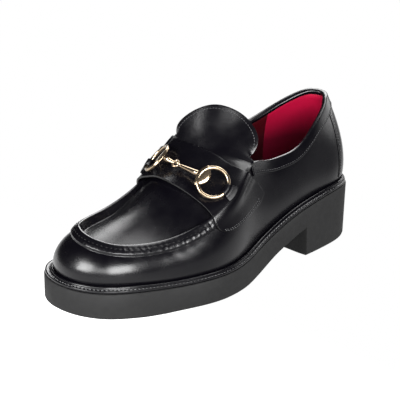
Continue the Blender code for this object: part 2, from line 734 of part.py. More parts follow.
def bit_frame(side):
    """Ring centre and the ring's own axes: towards the bit's centre, across, and along the ring's axis."""
    centre, normal, loop_to = (np.array(value) for value in BIT[side])
    axis = unit(normal)
    inwards = np.array(BIT_CENTRE) - centre
    inwards = unit(inwards - axis * inwards.dot(axis))
    to_loop = loop_to - centre
    to_loop = unit(to_loop - axis * to_loop.dot(axis))
    return centre, axis, inwards, to_loop


def turned(centre, x_axis, z_axis):
    """World matrix, in metres, of a piece whose own x and z axes lie along two directions of the shoe."""
    y_axis = np.cross(z_axis, x_axis)
    matrix = Matrix(np.column_stack([x_axis, y_axis, z_axis]).tolist()).to_4x4()
    matrix.translation = Vector(to_world(centre))
    return matrix


def torus(name, radius, wire, sides, wire_sides):
    """A ring about the z axis, with its size in millimetres."""
    angle = np.linspace(0, 2 * math.pi, sides, endpoint=False)
    turn = np.linspace(0, 2 * math.pi, wire_sides, endpoint=False)
    around, tube = np.meshgrid(angle, turn, indexing="ij")
    reach = radius + wire * np.cos(tube)
    points = np.stack([reach * np.cos(around), reach * np.sin(around), wire * np.sin(tube)], -1).reshape(-1, 3) * MM
    faces = grid_faces(sides, wire_sides, closed=True)
    last = (sides - 1) * wire_sides
    faces += [(last + c, last + (c + 1) % wire_sides, (c + 1) % wire_sides, c) for c in range(wire_sides)]
    mesh = bpy.data.meshes.new(name)
    mesh.from_pydata(points.tolist(), [], faces)
    work = bmesh.new()
    work.from_mesh(mesh)
    bmesh.ops.recalc_face_normals(work, faces=work.faces)
    work.to_mesh(mesh)
    work.free()
    mesh.shade_smooth()
    piece = bpy.data.objects.new(name, mesh)
    bpy.context.scene.collection.objects.link(piece)
    return piece


def make_ring(side, material):
    """A plain round ring that can turn in its loop and in the bar's barrel."""
    centre, axis, inwards, _ = bit_frame(side)
    ring = torus("bit_ring_" + side, RING_RADIUS, RING_WIRE, RING_SIDES, WIRE_SIDES)
    ring.matrix_world = turned(centre, inwards, axis)
    ring.data.materials.append(material)
    return ring


def turned_profile(work, profile, sides, matrix):
    """Adds a closed turned body to a bmesh: profile rows are distance along x and radius, in millimetres."""
    rings = []
    for x, radius in profile:
        ring = []
        for k in range(sides):
            angle = 2 * math.pi * k / sides
            local = Vector((x, radius * math.cos(angle), radius * math.sin(angle))) * MM
            ring.append(work.verts.new(matrix @ local))
        rings.append(ring)
    for ring, after in zip(rings, rings[1:]):
        for k in range(sides):
            j = (k + 1) % sides
            work.faces.new((ring[k], ring[j], after[j], after[k]))
    work.faces.new(tuple(reversed(rings[0])))
    work.faces.new(tuple(rings[-1]))


def solid_from(name, build):
    """An object made of one closed body that the given function adds to a bmesh."""
    work = bmesh.new()
    build(work)
    bmesh.ops.recalc_face_normals(work, faces=work.faces)
    mesh = bpy.data.meshes.new(name)
    work.to_mesh(mesh)
    work.free()
    mesh.shade_smooth()
    piece = bpy.data.objects.new(name, mesh)
    bpy.context.scene.collection.objects.link(piece)
    return piece


def combine(piece, other, operation):
    """A Boolean with a helper object, which stays in the file as a hidden guide."""
    other.hide_render = True
    other.display_type = "WIRE"
    step = piece.modifiers.new(other.name, "BOOLEAN")
    step.operation = operation
    step.object = other
    step.solver = "EXACT"


def make_bar(side, material):
    """Half of the bar: a leaf-shaped barrel that the ring runs through, a tapered rod and an eye at the centre."""
    centre, axis, inwards, _ = bit_frame(side)
    barrel_at = centre + (RING_RADIUS - BARREL_INSET) * inwards
    tangent = np.cross(axis, inwards)
    reach = np.array(BIT_CENTRE) - barrel_at
    run = unit(reach)
    eye_axis = unit(np.cross(run, axis)) if side == "lateral" else unit(np.cross(run, np.cross(run, axis)))
    length = np.linalg.norm(reach) - EYE_RADIUS
    leaf = [(-1.0, 0.7), (-0.6, 0.9), (0.0, 1.0), (0.6, 0.9), (1.0, 0.7)]
    leaf_matrix = turned(barrel_at, tangent, axis) @ Matrix.Diagonal((1, BARREL_WIDE / BARREL_DEEP, 1, 1))
    barrel = [(x * BARREL_LONG, radius * BARREL_DEEP) for x, radius in leaf]
    bar = solid_from("bit_bar_" + side, lambda work: turned_profile(work, barrel, 14, leaf_matrix))
    rod_profile = [
        (BARREL_INSET + RING_WIRE + RUNNING_GAP + 0.25, BAR_THICK), (0.35 * length, BAR_THICK),
        (0.85 * length, BAR_THIN), (length - 0.2, BAR_THIN),
    ]
    side_axis = unit(np.cross(run, axis))
    rod_matrix = turned(barrel_at, run, np.cross(run, side_axis))
    rod = solid_from("rod_" + side, lambda work: turned_profile(work, rod_profile, 12, rod_matrix))
    eye = torus("eye_" + side, EYE_RADIUS, EYE_WIRE, 16, 8)
    eye_centre = np.array(BIT_CENTRE) - run * (EYE_RADIUS - 0.9)
    eye.matrix_world = turned(eye_centre, run, eye_axis)
    bore = torus("bore_" + side, RING_RADIUS, RING_WIRE + RUNNING_GAP, RING_SIDES, WIRE_SIDES)
    bore.matrix_world = turned(centre, inwards, axis)
    combine(bar, rod, "UNION")
    combine(bar, eye, "UNION")
    combine(bar, bore, "DIFFERENCE")
    bar.data.materials.append(material)
    return bar


def make_loop(side, material):
    """The leather loop: a strap folded round the ring's wire whose two plies run together down to the saddle."""
    centre, axis, _, to_loop = bit_frame(side)
    sink = np.dot(np.array(BIT[side][2]) - centre, axis)
    across = np.cross(axis, to_loop)
    inner = RING_WIRE + RUNNING_GAP
    outer = inner + LOOP_THICK
    tail = np.dot(np.array(BIT[side][2]) - centre, to_loop) - RING_RADIUS
    ply = LOOP_THICK + 0.05
    middle = 0.5 * (outer + 0.6 + tail)
    profile = [(tail, ply), (middle, ply), (outer + 0.6, ply)]
    for angle in np.radians(np.linspace(35, 325, 12)):
        profile.append((outer * math.cos(angle), outer * math.sin(angle)))
    profile += [(outer + 0.6, -ply), (middle, -ply), (tail, -ply), (tail, -0.05), (middle, -0.05), (inner + 0.9, -0.05)]
    for angle in np.radians(np.linspace(325, 35, 12)):
        profile.append((inner * math.cos(angle), inner * math.sin(angle)))
    profile += [(inner + 0.9, 0.05), (middle, 0.05), (tail, 0.05)]
    rows = []
    for turn in np.radians(np.linspace(-LOOP_HALF_ANGLE, LOOP_HALF_ANGLE, 5)):
        outward = math.cos(turn) * to_loop + math.sin(turn) * across
        row = []
        for r, h in profile:
            bend = sink * (max(r - outer, 0.0) / (tail - outer)) ** 1.5
            row.append(centre + (RING_RADIUS + r) * outward + (h + bend) * axis)
        rows.append(row)
    points = np.array(rows).reshape(-1, 3)
    faces = grid_faces(len(rows), len(profile), closed=True)
    faces.append(tuple(range(len(profile))))
    last = (len(rows) - 1) * len(profile)
    faces.append(tuple(last + i for i in reversed(range(len(profile)))))
    return make_object("bit_loop_" + side, points, faces, material)


def main():
    for old in list(bpy.data.objects):
        bpy.data.objects.remove(old)
    leather = make_material("black_leather")
    lining = make_material("lining_leather")
    rubber = make_material("grey_rubber")
    gilt = make_material("pale_gilt")
    pieces = [
        make_outsole(rubber),
        make_welt(leather),
        make_insole(lining),
        make_upper(leather),
        make_tongue(leather),
        make_saddle(leather),
        make_binding(leather),
        make_backstay(leather),
    ]
    for side in BIT:
        pieces += [make_loop(side, leather), make_ring(side, gilt), make_bar(side, gilt)]
    shoe = bpy.data.objects.new("loafer_left", None)
    bpy.context.scene.collection.objects.link(shoe)
    for piece in pieces:
        piece.parent = shoe


main()
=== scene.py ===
# %% [markdown]
# # A horsebit loafer in polished black calf
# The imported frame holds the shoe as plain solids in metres: sole, welt, insole, upper, tongue, saddle,
# trims and bit. Here each solid gets its finished skin. The skins could be drawn by hand over the solids.
# They are worked out from the same last instead, so they lie where the solids lie.

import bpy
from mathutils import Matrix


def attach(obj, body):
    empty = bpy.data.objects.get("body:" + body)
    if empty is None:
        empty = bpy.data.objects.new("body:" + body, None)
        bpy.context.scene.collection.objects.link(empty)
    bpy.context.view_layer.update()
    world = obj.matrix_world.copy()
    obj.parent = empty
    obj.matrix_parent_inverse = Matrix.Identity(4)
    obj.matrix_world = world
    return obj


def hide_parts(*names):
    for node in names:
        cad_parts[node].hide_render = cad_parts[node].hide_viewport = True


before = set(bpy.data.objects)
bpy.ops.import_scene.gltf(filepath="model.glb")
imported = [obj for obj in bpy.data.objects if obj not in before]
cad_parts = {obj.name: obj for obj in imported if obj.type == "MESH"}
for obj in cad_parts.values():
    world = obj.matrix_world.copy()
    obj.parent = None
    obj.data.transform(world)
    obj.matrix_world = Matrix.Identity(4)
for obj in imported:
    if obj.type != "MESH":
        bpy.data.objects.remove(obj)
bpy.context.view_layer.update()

# %% [markdown]
# ## The last
# A shoe is built round a last, a solid foot form. It could be sculpted, but then each piece would have to
# be fitted to the sculpture by eye. Here one row of numbers describes one section of it: where the upper
# meets the welt, how wide the welt is, and how the side wall swells between the welt and its top edge.
# Splines through the rows give every point between them. Sizes are in millimetres: s runs from heel to
# toe, t from the inner (medial) to the outer (lateral) side, and z is the height above the floor.

# %% Splines
import math

import bmesh
import bpy
import numpy as np


def cubic(along, step, start, end, bend_start, bend_end):
    """One span of a cubic spline, from its end values and end bends."""
    done = np.asarray(along)[..., None]
    step = np.asarray(step)[..., None]
    left = step - done
    curve = (bend_start * left**3 + bend_end * done**3) / (6 * step)
    return curve + (start / step - bend_start * step / 6) * left + (end / step - bend_end * step / 6) * done


def ring_spline(rows):
    """Knots and function of a closed cubic spline, run by the length between the rows' first two columns."""
    values = np.asarray(rows, float)
    count = len(values)
    steps = np.linalg.norm(np.roll(values, -1, 0)[:, :2] - values[:, :2], axis=1)
    knots = np.concatenate([[0.0], np.cumsum(steps)])
    matrix = np.zeros((count, count))
    right = np.zeros_like(values)
    for i in range(count):
        after = (i + 1) % count
        matrix[i, i - 1] += steps[i - 1]
        matrix[i, i] += 2 * (steps[i - 1] + steps[i])
        matrix[i, after] += steps[i]
        slope_in = (values[i] - values[i - 1]) / steps[i - 1]
        right[i] = 6 * ((values[after] - values[i]) / steps[i] - slope_in)
    bend = np.linalg.solve(matrix, right)

    def at(u):
        u = np.mod(u, knots[-1])
        i = np.clip(np.searchsorted(knots, u, "right") - 1, 0, count - 1)
        j = (i + 1) % count
        return cubic(u - knots[i], steps[i], values[i], values[j], bend[i], bend[j])

    return knots, at


def line_spline(rows):
    """Function of a natural cubic spline through rows of x and one or more values."""
    rows = np.asarray(rows, float)
    x, values = rows[:, 0], rows[:, 1:]
    steps = np.diff(x)
    count = len(x)
    matrix = np.eye(count)
    right = np.zeros_like(values)
    for i in range(1, count - 1):
        matrix[i, i - 1:i + 2] = steps[i - 1], 2 * (steps[i - 1] + steps[i]), steps[i]
        slope_in = (values[i] - values[i - 1]) / steps[i - 1]
        right[i] = 6 * ((values[i + 1] - values[i]) / steps[i] - slope_in)
    bend = np.linalg.solve(matrix, right)

    def at(q):
        q = np.clip(q, x[0], x[-1])
        i = np.clip(np.searchsorted(x, q, "right") - 1, 0, count - 2)
        return cubic(q - x[i], steps[i], values[i], values[i + 1], bend[i], bend[i + 1])

    return at


# %% The last's sections, the plug's crest and the sole's lines
LAST = (
    # section, foot_s, foot_t, welt, rise, inset, belly, shoulder
    ("heel_back", 4.5, 0.0, 4.5, 64.0, 9.5, 4.0, 2.0),
    ("heel_back_lateral", 14.5, 19.5, 4.5, 62.0, 12.0, 6.5, 4.5),
    ("heel_lateral", 40.0, 27.0, 6.0, 53.2, 7.0, 4.0, 3.0),
    ("seat_lateral", 73.0, 30.0, 6.5, 41.9, 4.5, 4.0, 3.0),
    ("throat_lateral", 118.0, 35.0, 6.0, 58.0, 6.0, 4.0, 2.0),
    ("instep_lateral", 142.0, 42.5, 5.5, 49.4, 5.5, 5.0, 4.0),
    ("joint_lateral", 168.0, 46.5, 5.5, 36.0, 9.5, 5.0, 9.0),
    ("fore_lateral", 212.0, 37.0, 5.5, 25.7, 10.0, 5.0, 10.0),
    ("toe_lateral", 249.5, 22.5, 7.0, 25.0, 14.5, 5.0, 11.0),
    ("toe_tip", 261.0, -4.5, 6.5, 27.7, 18.0, 5.0, 10.0),
    ("toe_medial", 251.0, -31.0, 7.5, 28.4, 19.0, 5.0, 11.0),
    ("fore_medial", 221.5, -41.0, 7.0, 30.5, 14.5, 5.0, 10.0),
    ("joint_medial", 180.0, -40.0, 6.5, 38.5, 10.5, 5.0, 9.0),
    ("instep_medial", 156.0, -34.5, 6.0, 49.5, 1.5, 5.0, 4.0),
    ("throat_medial", 135.0, -29.5, 6.0, 68.1, -2.5, 4.0, 2.0),
    ("seat_medial", 85.0, -26.5, 5.5, 53.3, 0.0, 4.0, 3.0),
    ("heel_medial", 40.0, -27.0, 5.0, 56.7, 7.0, 4.0, 3.0),
    ("heel_back_medial", 14.0, -19.5, 4.5, 64.0, 11.5, 4.0, 3.0),
)
SECTION = {row[0]: number for number, row in enumerate(LAST)}
FOOT_S, FOOT_T, WELT, RISE, INSET, BELLY, SHOULDER = range(7)
# The topline sags a little behind the lateral throat.
TOPLINE_DIP, DIP_BEHIND, DIP_WIDTH = 2.8, 20.0, 14.0
BELLY_HEIGHT = 0.38
SHOULDER_DROP = 0.12
CREST = (
    # along, s, t, z
    (0.0, 140.0, -1.0, 93.0), (0.15, 155.0, -1.0, 82.5), (0.3, 170.0, -1.5, 76.0), (0.5, 190.0, -2.0, 70.0),
    (0.7, 211.0, -3.0, 63.0), (0.85, 227.0, -4.0, 57.5), (1.0, 243.0, -4.5, 53.0),
)
CROWN_POWER, FLAT_POWER = 0.9, 1.3
# The plug lies below the instep's line, inside the raised seam: CREST_SINK is how deep its crest has sunk,
# and SEAM_SINK and SEAM_IN are how far its edge lies down and in.
PLUG_BACK = 0.12
CREST_SINK = (
    # along, depth
    (0, 0), (0.15, 0), (0.25, 1.6), (0.3, 3), (0.4, 5.9),
    (0.5, 8), (0.6, 8.4), (0.7, 7.5), (0.85, 5.2), (1, 3.5),
)
SUNK_FROM = 0.5
SEAM_SINK, SEAM_IN = 3.0, 2.2
RUBBER_TOP = (
    # s, z
    (0, 39.5), (38, 39.9), (57, 38.2), (73, 35.6), (93, 30.0), (110, 24.4), (125, 20.3),
    (140, 18.2), (177, 17.8), (205, 18.0), (222, 19.5), (240, 21.5), (253, 22.3), (270, 22.1),
)
WELT_THICK = 2.5

KNOTS, last_row = ring_spline([row[1:] for row in LAST])
LAP = KNOTS[-1]
U_LATERAL = KNOTS[SECTION["throat_lateral"]]
U_TIP = KNOTS[SECTION["toe_tip"]]
U_MEDIAL = KNOTS[SECTION["throat_medial"]]
crest = line_spline(CREST)
crest_sink = line_spline(CREST_SINK)
top_spline = line_spline(RUBBER_TOP)
print("way round the foot, mm:", round(LAP, 1))

# %% [markdown]
# ## The surfaces of the leather
# Two surfaces carry all the leather. The side wall runs from the welt up to the topline or the seam, and
# the plug is the apron over the toes. They could be meshes from the start. As functions they give a point
# and a normal anywhere, which every stitch and strap asks for later. The wall is one cubic curve for each
# place round the foot, and the plug is a crowned sheet between the two seams.

# %% Side wall of the last
def unit(vectors):
    return vectors / np.linalg.norm(vectors, axis=-1)[..., None]


def smooth_step(x):
    x = np.clip(x, 0.0, 1.0)
    return x * x * (3 - 2 * x)


def rubber_top(s):
    return top_spline(np.asarray(s, float))[..., 0]


def section(u):
    """The last's row at u and the outward direction of the outline there, in plan."""
    run = unit((last_row(u + 0.05) - last_row(u - 0.05))[..., :2])
    return last_row(u), np.stack([-run[..., 1], run[..., 0]], -1)


def outline(u, out):
    """Plan points of the line where the upper meets the welt, moved outwards."""
    row, normal = section(u)
    return row[..., :2] + np.asarray(out)[..., None] * normal


def wall(u, v):
    """The upper's side wall: v is 0 on the welt and 1 on the topline or the seam."""
    row, normal = section(u)
    out = np.concatenate([normal, np.zeros_like(normal[..., :1])], -1)
    dip = TOPLINE_DIP * np.exp(-((((np.mod(u, LAP) - U_LATERAL) + DIP_BEHIND) / DIP_WIDTH) ** 2))
    rise = (row[..., RISE] - dip)[..., None] * np.array([0.0, 0.0, 1.0])
    foot_z = rubber_top(row[..., FOOT_S]) + WELT_THICK
    foot = np.concatenate([row[..., :2], foot_z[..., None]], -1)
    top = foot - row[..., INSET, None] * out + rise
    low = foot + row[..., BELLY, None] * out + BELLY_HEIGHT * rise
    high = top + row[..., SHOULDER, None] * out - SHOULDER_DROP * rise
    v = np.asarray(v, float)[..., None]
    w = 1 - v
    return w**3 * foot + 3 * v * w**2 * low + 3 * v**2 * w * high + v**3 * top


def wall_normal(u, v):
    step = 1e-3
    along = wall(u + 0.1, v) - wall(u - 0.1, v)
    up = wall(u, np.minimum(v + step, 1.0)) - wall(u, np.maximum(v - step, 0.0))
    return unit(np.cross(up, along))


def wall_share(u, drop):
    """The v at a distance below the wall's top edge, for arrays of one shape."""
    u, drop = np.broadcast_arrays(np.asarray(u, float), np.asarray(drop, float))
    v = np.linspace(1, 0, 61)
    line = wall(u[..., None] + 0 * v, np.broadcast_to(v, u.shape + v.shape))
    steps = np.linalg.norm(np.diff(line, axis=-2), axis=-1)
    length = np.concatenate([np.zeros(u.shape + (1,)), np.cumsum(steps, -1)], -1)
    found = np.empty(u.shape)
    for place in np.ndindex(u.shape):
        found[place] = np.interp(drop[place], length[place], v)
    return found


heel_top = wall(np.zeros(1), np.ones(1))[0, 2]
print("topline at the back of the heel, mm above the floor:", round(float(heel_top), 1))


# %% Instep and plug
def side_u(along, side):
    """The u of the row at this place between throat and toe tip, on the lateral (1) or medial (-1) side."""
    end = np.where(np.asarray(side) > 0, U_LATERAL, U_MEDIAL)
    return end + np.asarray(along, float) * (U_TIP - end)


def span(lateral, medial, top, across, power):
    """A crowned sheet between two edges: across is -1 on the medial edge and 1 on the lateral edge."""
    chord = medial + ((1 + across) / 2)[..., None] * (lateral - medial)
    crown = np.clip(1 - across**2, 0, 1) ** power
    return chord + crown[..., None] * (top - (lateral + medial) / 2)


def instep(along, across):
    """The instep between the two top edges, which tongue and saddle follow."""
    along, across = np.broadcast_arrays(np.asarray(along, float), np.asarray(across, float))
    top = np.ones_like(along)
    return span(wall(side_u(along, 1), top), wall(side_u(along, -1), top), crest(along), across, CROWN_POWER)


def plug_depth(along):
    """How far the plug has sunk inside the seam, from 0 at the throat to 1 at the toe."""
    return smooth_step((np.asarray(along, float) - PLUG_BACK) / (SUNK_FROM - PLUG_BACK))


def plug_edge(u, along):
    """The line where the plug meets the inside of the raised seam."""
    _, normal = section(u)
    depth = plug_depth(along)[..., None]
    inwards = np.concatenate([-SEAM_IN * normal, np.full_like(normal[..., :1], -SEAM_SINK)], -1)
    return wall(u, np.ones_like(u)) + depth * inwards


def plug(along, across):
    """The plug inside the raised seam: across is -1 on its medial edge and 1 on its lateral edge."""
    along, across = np.broadcast_arrays(np.asarray(along, float), np.asarray(across, float))
    lateral, medial = (plug_edge(side_u(along, side), along) for side in (1, -1))
    back = SEAM_IN * np.clip(along, 0, 1) ** 3
    down = np.maximum(crest_sink(along)[..., 0], 0.0)
    sunk = np.stack([back, 0 * along, down], -1)
    flat = FLAT_POWER + (CROWN_POWER - FLAT_POWER) * (1 - plug_depth(along))
    return span(lateral, medial, crest(along) - sunk, across, flat)


def sheet_normal(surface, along, across):
    """Upward normal of the instep or the plug."""
    step = 1e-3
    ahead = surface(along + step, across) - surface(along - step, across)
    right = surface(along, np.minimum(across + step, 1.0)) - surface(along, np.maximum(across - step, -1.0))
    return unit(np.cross(ahead, right))


plug_line = plug(np.linspace(PLUG_BACK, 1, 60), np.zeros(60))
plug_length = np.linalg.norm(np.diff(plug_line, axis=0), axis=1).sum()
print("length of the plug, mm:", round(float(plug_length), 1))


# %% [markdown]
# ## Turning grids of points into pieces
# Almost every piece of a shoe is a sheet with a thickness. A Solidify modifier could give that, but it
# pinches where leather folds. Here a sheet is two grids of points with a rim between them, which gives a
# closed mesh with the thickness that is asked for. A small bevel rounds the cut edges, because a real
# edge always catches a line of light.

# %% Grids, tubes and sheets
MM = 0.001
MIDDLE = np.array([133.765, 1.68, 0.0])


def to_world(points):
    """Shoe sizes in millimetres to metres, with the origin under the middle of the sole."""
    return (np.asarray(points, float) - MIDDLE) * MM


def grid_faces(rows, columns, start=0, closed=False):
    """Quads between the rows of a grid of points."""
    faces = []
    for r in range(rows - 1):
        for c in range(columns if closed else columns - 1):
            d = (c + 1) % columns
            first, second = start + r * columns, start + (r + 1) * columns
            faces.append((first + c, first + d, second + d, second + c))
    return faces


def tube_faces(rows, columns, start=0):
    """Faces of a tube whose rows are rings of points, with both ends closed."""
    last = start + (rows - 1) * columns
    faces = grid_faces(rows, columns, start, closed=True)
    faces.append(tuple(range(start, start + columns)))
    faces.append(tuple(reversed(range(last, last + columns))))
    return faces


def joined(bodies):
    """Points and faces of several closed bodies as one piece."""
    points, faces = [], []
    for body_points, body_faces in bodies:
        start = sum(len(group) for group in points)
        points.append(body_points)
        faces += [tuple(start + i for i in face) for face in body_faces]
    return np.concatenate(points), faces


def sheet(outer, inner):
    """Points, faces and number of broad faces of a closed sheet between two grids of one size."""
    rows, columns = outer.shape[:2]
    half = rows * columns
    points = np.concatenate([outer.reshape(-1, 3), inner.reshape(-1, 3)])
    faces = grid_faces(rows, columns)
    faces += [tuple(half + i for i in reversed(face)) for face in faces]
    broad = len(faces)
    rim = list(range(columns))
    rim += [r * columns + columns - 1 for r in range(1, rows)]
    rim += [(rows - 1) * columns + c for c in reversed(range(columns - 1))]
    rim += [r * columns for r in reversed(range(1, rows - 1))]
    for a, b in zip(rim, rim[1:] + rim[:1]):
        faces.append((b, a, half + a, half + b))
    return points, faces, broad


# %% Make a piece of a mesh
SHARP_ANGLE = 50
made = []


def add_piece(
    name, points, faces, finish, stands_for=(), body="root", bevel=0.0, edge=None
):
    """A finished piece: edge is a second finish and the number of the first face that has it."""
    mesh = bpy.data.meshes.new(name)
    mesh.from_pydata(to_world(points).tolist(), [], faces)
    mesh.materials.append(finish)
    if edge:
        mesh.materials.append(edge[0])
        for polygon in list(mesh.polygons)[edge[1]:]:
            polygon.material_index = 1
    work = bmesh.new()
    work.from_mesh(mesh)
    bmesh.ops.remove_doubles(work, verts=work.verts, dist=1e-6)
    bmesh.ops.recalc_face_normals(work, faces=work.faces)
    work.to_mesh(mesh)
    work.free()
    mesh.shade_smooth()
    piece = bpy.data.objects.new(name, mesh)
    bpy.context.scene.collection.objects.link(piece)
    if bevel:
        rounding = piece.modifiers.new("rounded_edges", "BEVEL")
        rounding.width = bevel * MM
        rounding.segments = 2
        rounding.limit_method = "ANGLE"
        rounding.angle_limit = math.radians(SHARP_ANGLE)
    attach(piece, body)
    if stands_for:
        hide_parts(*stands_for)
    made.append(name)
    print(name, len(mesh.polygons), "faces")
    return piece


# %% [markdown]
# ## Thread
# A lockstitch shows as a row of short threads that rise from one hole and dip into the next. Stitches
# could be a bump in the leather's finish, but real thread stands clear of the leather and throws small
# shadows, so it is a mesh. Each stitch is a small bowed tube that is thickest in the middle, so a row of
# them catches light as separate dots.

# %% Stitch helper
STITCH_RINGS, STITCH_SIDES = 5, 6


def stitch_run(path, normals, pitch, length, thick, lift=0.0):
    """Points and faces of stitches along a path that lies on leather with the given normals."""
    steps = np.linalg.norm(np.diff(path, axis=0), axis=1)
    run = np.concatenate([[0.0], np.cumsum(steps)])
    centres = np.arange(pitch / 2, run[-1], pitch)

    def along_path(values, places):
        return np.stack([np.interp(places, run, values[:, axis]) for axis in range(3)], -1)

    middle = along_path(path, centres)[:, None]
    ahead = unit(along_path(path, centres + 0.2) - along_path(path, centres - 0.2))[:, None]
    across = unit(np.cross(along_path(normals, centres)[:, None], ahead))
    up = np.cross(ahead, across)
    bow = np.linspace(-1, 1, STITCH_RINGS)[None, :, None]
    spine = middle + 0.5 * length * bow * ahead + (lift + thick * (0.6 - 1.5 * bow**2)) * up
    turn = np.linspace(0, 2 * math.pi, STITCH_SIDES, endpoint=False)[None, None, :, None]
    radius = (thick * np.sqrt(1 - 0.8 * bow**2))[:, :, None]
    points = spine[:, :, None] + radius * (np.cos(turn) * across[:, :, None] + np.sin(turn) * up[:, :, None])
    faces = []
    each = STITCH_RINGS * STITCH_SIDES
    for start in range(0, len(centres) * each, each):
        faces += tube_faces(STITCH_RINGS, STITCH_SIDES, start)
    return points.reshape(-1, 3), faces


def add_stitches(name, runs, finish):
    """One piece of thread made of several runs of stitches."""
    points, faces = joined(runs)
    return add_piece(name, points, faces, finish)


# %% [markdown]
# ## Finishes
# Polished calf is black dye under a thin wax film: a very dark base with a low, fairly tight shine. Its
# grain is so fine that it only softens the edges of the reflections, so the grain and the slow unevenness
# of the hide go into the bump, and the wax varies the roughness. Pictures of leather could do this too,
# but noise has no seams and fits any shape. The crimson lining carries painted shade: its colour darkens
# towards the insole, where the inside of the shoe lies in shade.
# Colours that are the same all over sit on the shader's own sockets, and one small function makes each
# node, sets its numbers and links what it reads.

# %% Nodes of a finish
def new_finish(name, colour, roughness, metallic=0.0, shine=0.5):
    """A Principled finish with its even values set on the shader's own sockets."""
    finish = bpy.data.materials.new(name)
    finish.use_nodes = True
    shader = finish.node_tree.nodes["Principled BSDF"]
    shader.inputs["Base Color"].default_value = (*colour, 1.0)
    shader.inputs["Roughness"].default_value = roughness
    shader.inputs["Metallic"].default_value = metallic
    shader.inputs["Specular IOR Level"].default_value = shine
    return finish, shader


def add_node(finish, kind, values=None, sources=None):
    """A shader node: values are set on its sockets, and sources are linked to them."""
    node = finish.node_tree.nodes.new("ShaderNode" + kind)
    for socket, value in (values or {}).items():
        node.inputs[socket].default_value = value
    for socket, source in (sources or {}).items():
        finish.node_tree.links.new(source, node.inputs[socket])
    return node


def own_place(finish):
    """The piece's own coordinates, where one unit is a metre."""
    return add_node(finish, "TexCoord").outputs["Object"]


def noise(finish, scale, detail=3.0, stretch=(1.0, 1.0, 1.0)):
    """A noise texture in the piece's own coordinates."""
    mapping = add_node(finish, "Mapping", {"Scale": stretch}, {"Vector": own_place(finish)})
    sources = {"Vector": mapping.outputs["Vector"]}
    return add_node(finish, "TexNoise", {"Scale": scale, "Detail": detail}, sources).outputs["Fac"]


def pores(finish, scale):
    """A cell texture for pores and pebbles."""
    return add_node(finish, "TexVoronoi", {"Scale": scale}, {"Vector": own_place(finish)}).outputs["Distance"]


def add_bumps(finish, shader, layers):
    """Bump layers on top of each other: each has a height texture and its depth in millimetres."""
    before = {}
    for height, depth in layers:
        sources = {"Height": height, **before}
        bump = add_node(finish, "Bump", {"Strength": 1.0, "Distance": depth * MM}, sources)
        before = {"Normal": bump.outputs["Normal"]}
    finish.node_tree.links.new(before["Normal"], shader.inputs["Normal"])


# %% Numbers and shades that vary
TEXTURE_RANGE = (0.3, 0.7)


def map_range(finish, number, reads, gives=(0.0, 1.0)):
    """A node that stretches a number from one range to another."""
    values = {"From Min": reads[0], "From Max": reads[1], "To Min": gives[0], "To Max": gives[1]}
    return add_node(finish, "MapRange", values, {"Value": number})


def vary(finish, socket, texture, low, high):
    """Lets a texture move a number between two values."""
    ramp = map_range(finish, texture, TEXTURE_RANGE, (low, high))
    finish.node_tree.links.new(ramp.outputs["Result"], socket)


def tint(finish, shader, texture, dark, light):
    """Lets a texture move the base colour between two shades."""
    ramp = add_node(finish, "ValToRGB", sources={"Fac": texture})
    for stop, place, colour in zip(ramp.color_ramp.elements, TEXTURE_RANGE, (dark, light)):
        stop.position = place
        stop.color = (*colour, 1.0)
    finish.node_tree.links.new(ramp.outputs["Color"], shader.inputs["Base Color"])


# %% Calf and thread
def make_calf(name, grain, roughness, shine):
    """Black calf: the slow unevenness of the hide, its fine grain and its pores."""
    calf, shader = new_finish(name, (0.0006, 0.0005, 0.0010), roughness, shine=shine)
    vary(calf, shader.inputs["Roughness"], noise(calf, 90), roughness - 0.04, roughness + 0.04)
    hide = (noise(calf, 45, 2.0), 0.05)
    fine_grain = (noise(calf, 1100, 4.0), 0.02 * grain)
    add_bumps(calf, shader, (hide, fine_grain, (pores(calf, 1500), 0.012 * grain)))
    return calf


def make_thread(name, colour, roughness, shine, stretch=(1.0, 1.0, 2.0)):
    """Waxed thread with the fine twist of its strands."""
    thread, shader = new_finish(name, colour, roughness, shine=shine)
    add_bumps(thread, shader, ((noise(thread, 2600, 2.0, stretch), 0.06),))
    return thread


calf = make_calf("polished_black_calf", 1.0, 0.25, 0.25)
strap_calf = make_calf("satin_strap_calf", 1.5, 0.32, 0.10)
thread = make_thread("waxed_black_thread", (0.004, 0.004, 0.004), 0.5, 0.1)
edge_thread = make_thread("dark_edge_thread", (0.014, 0.014, 0.015), 0.45, 0.3)
welt_thread = make_thread("grey_welt_thread", (0.035, 0.035, 0.036), 0.5, 0.5, stretch=(1.0, 1.0, 1.0))

cut_edge, shader = new_finish("waxed_cut_edge", (0.008, 0.008, 0.008), 0.38, shine=0.3)
add_bumps(cut_edge, shader, ((noise(cut_edge, 1800), 0.02),))
print("leathers and threads:", len(bpy.data.materials))


# %% Lining leather
def height_share(finish, low, high):
    """A number that grows with the height above the floor, between two heights in millimetres."""
    split = add_node(finish, "SeparateXYZ", sources={"Vector": own_place(finish)})
    return map_range(finish, split.outputs["Z"], (low * MM, high * MM)).outputs["Result"]


def make_crimson_with_painted_shade(name, dark, light, low, high):
    """Lining leather with painted shade: its colour darkens towards the insole, where the inside of the shoe
    lies in shade.
    """
    crimson, shader = new_finish(name, light, 0.5, shine=0.08)
    tint(crimson, shader, height_share(crimson, low, high), dark, light)
    vary(crimson, shader.inputs["Roughness"], noise(crimson, 300), 0.44, 0.58)
    add_bumps(crimson, shader, ((noise(crimson, 1000, 4.0), 0.05), (pores(crimson, 1600), 0.03)))
    return crimson


# The dark end of each of these ramps is painted shade deep inside the shoe, not a colour of the leather.
crimson = make_crimson_with_painted_shade("crimson_heel_lining", (0.028, 0.0002, 0.003), (0.145, 0.001, 0.012), 50, 112)
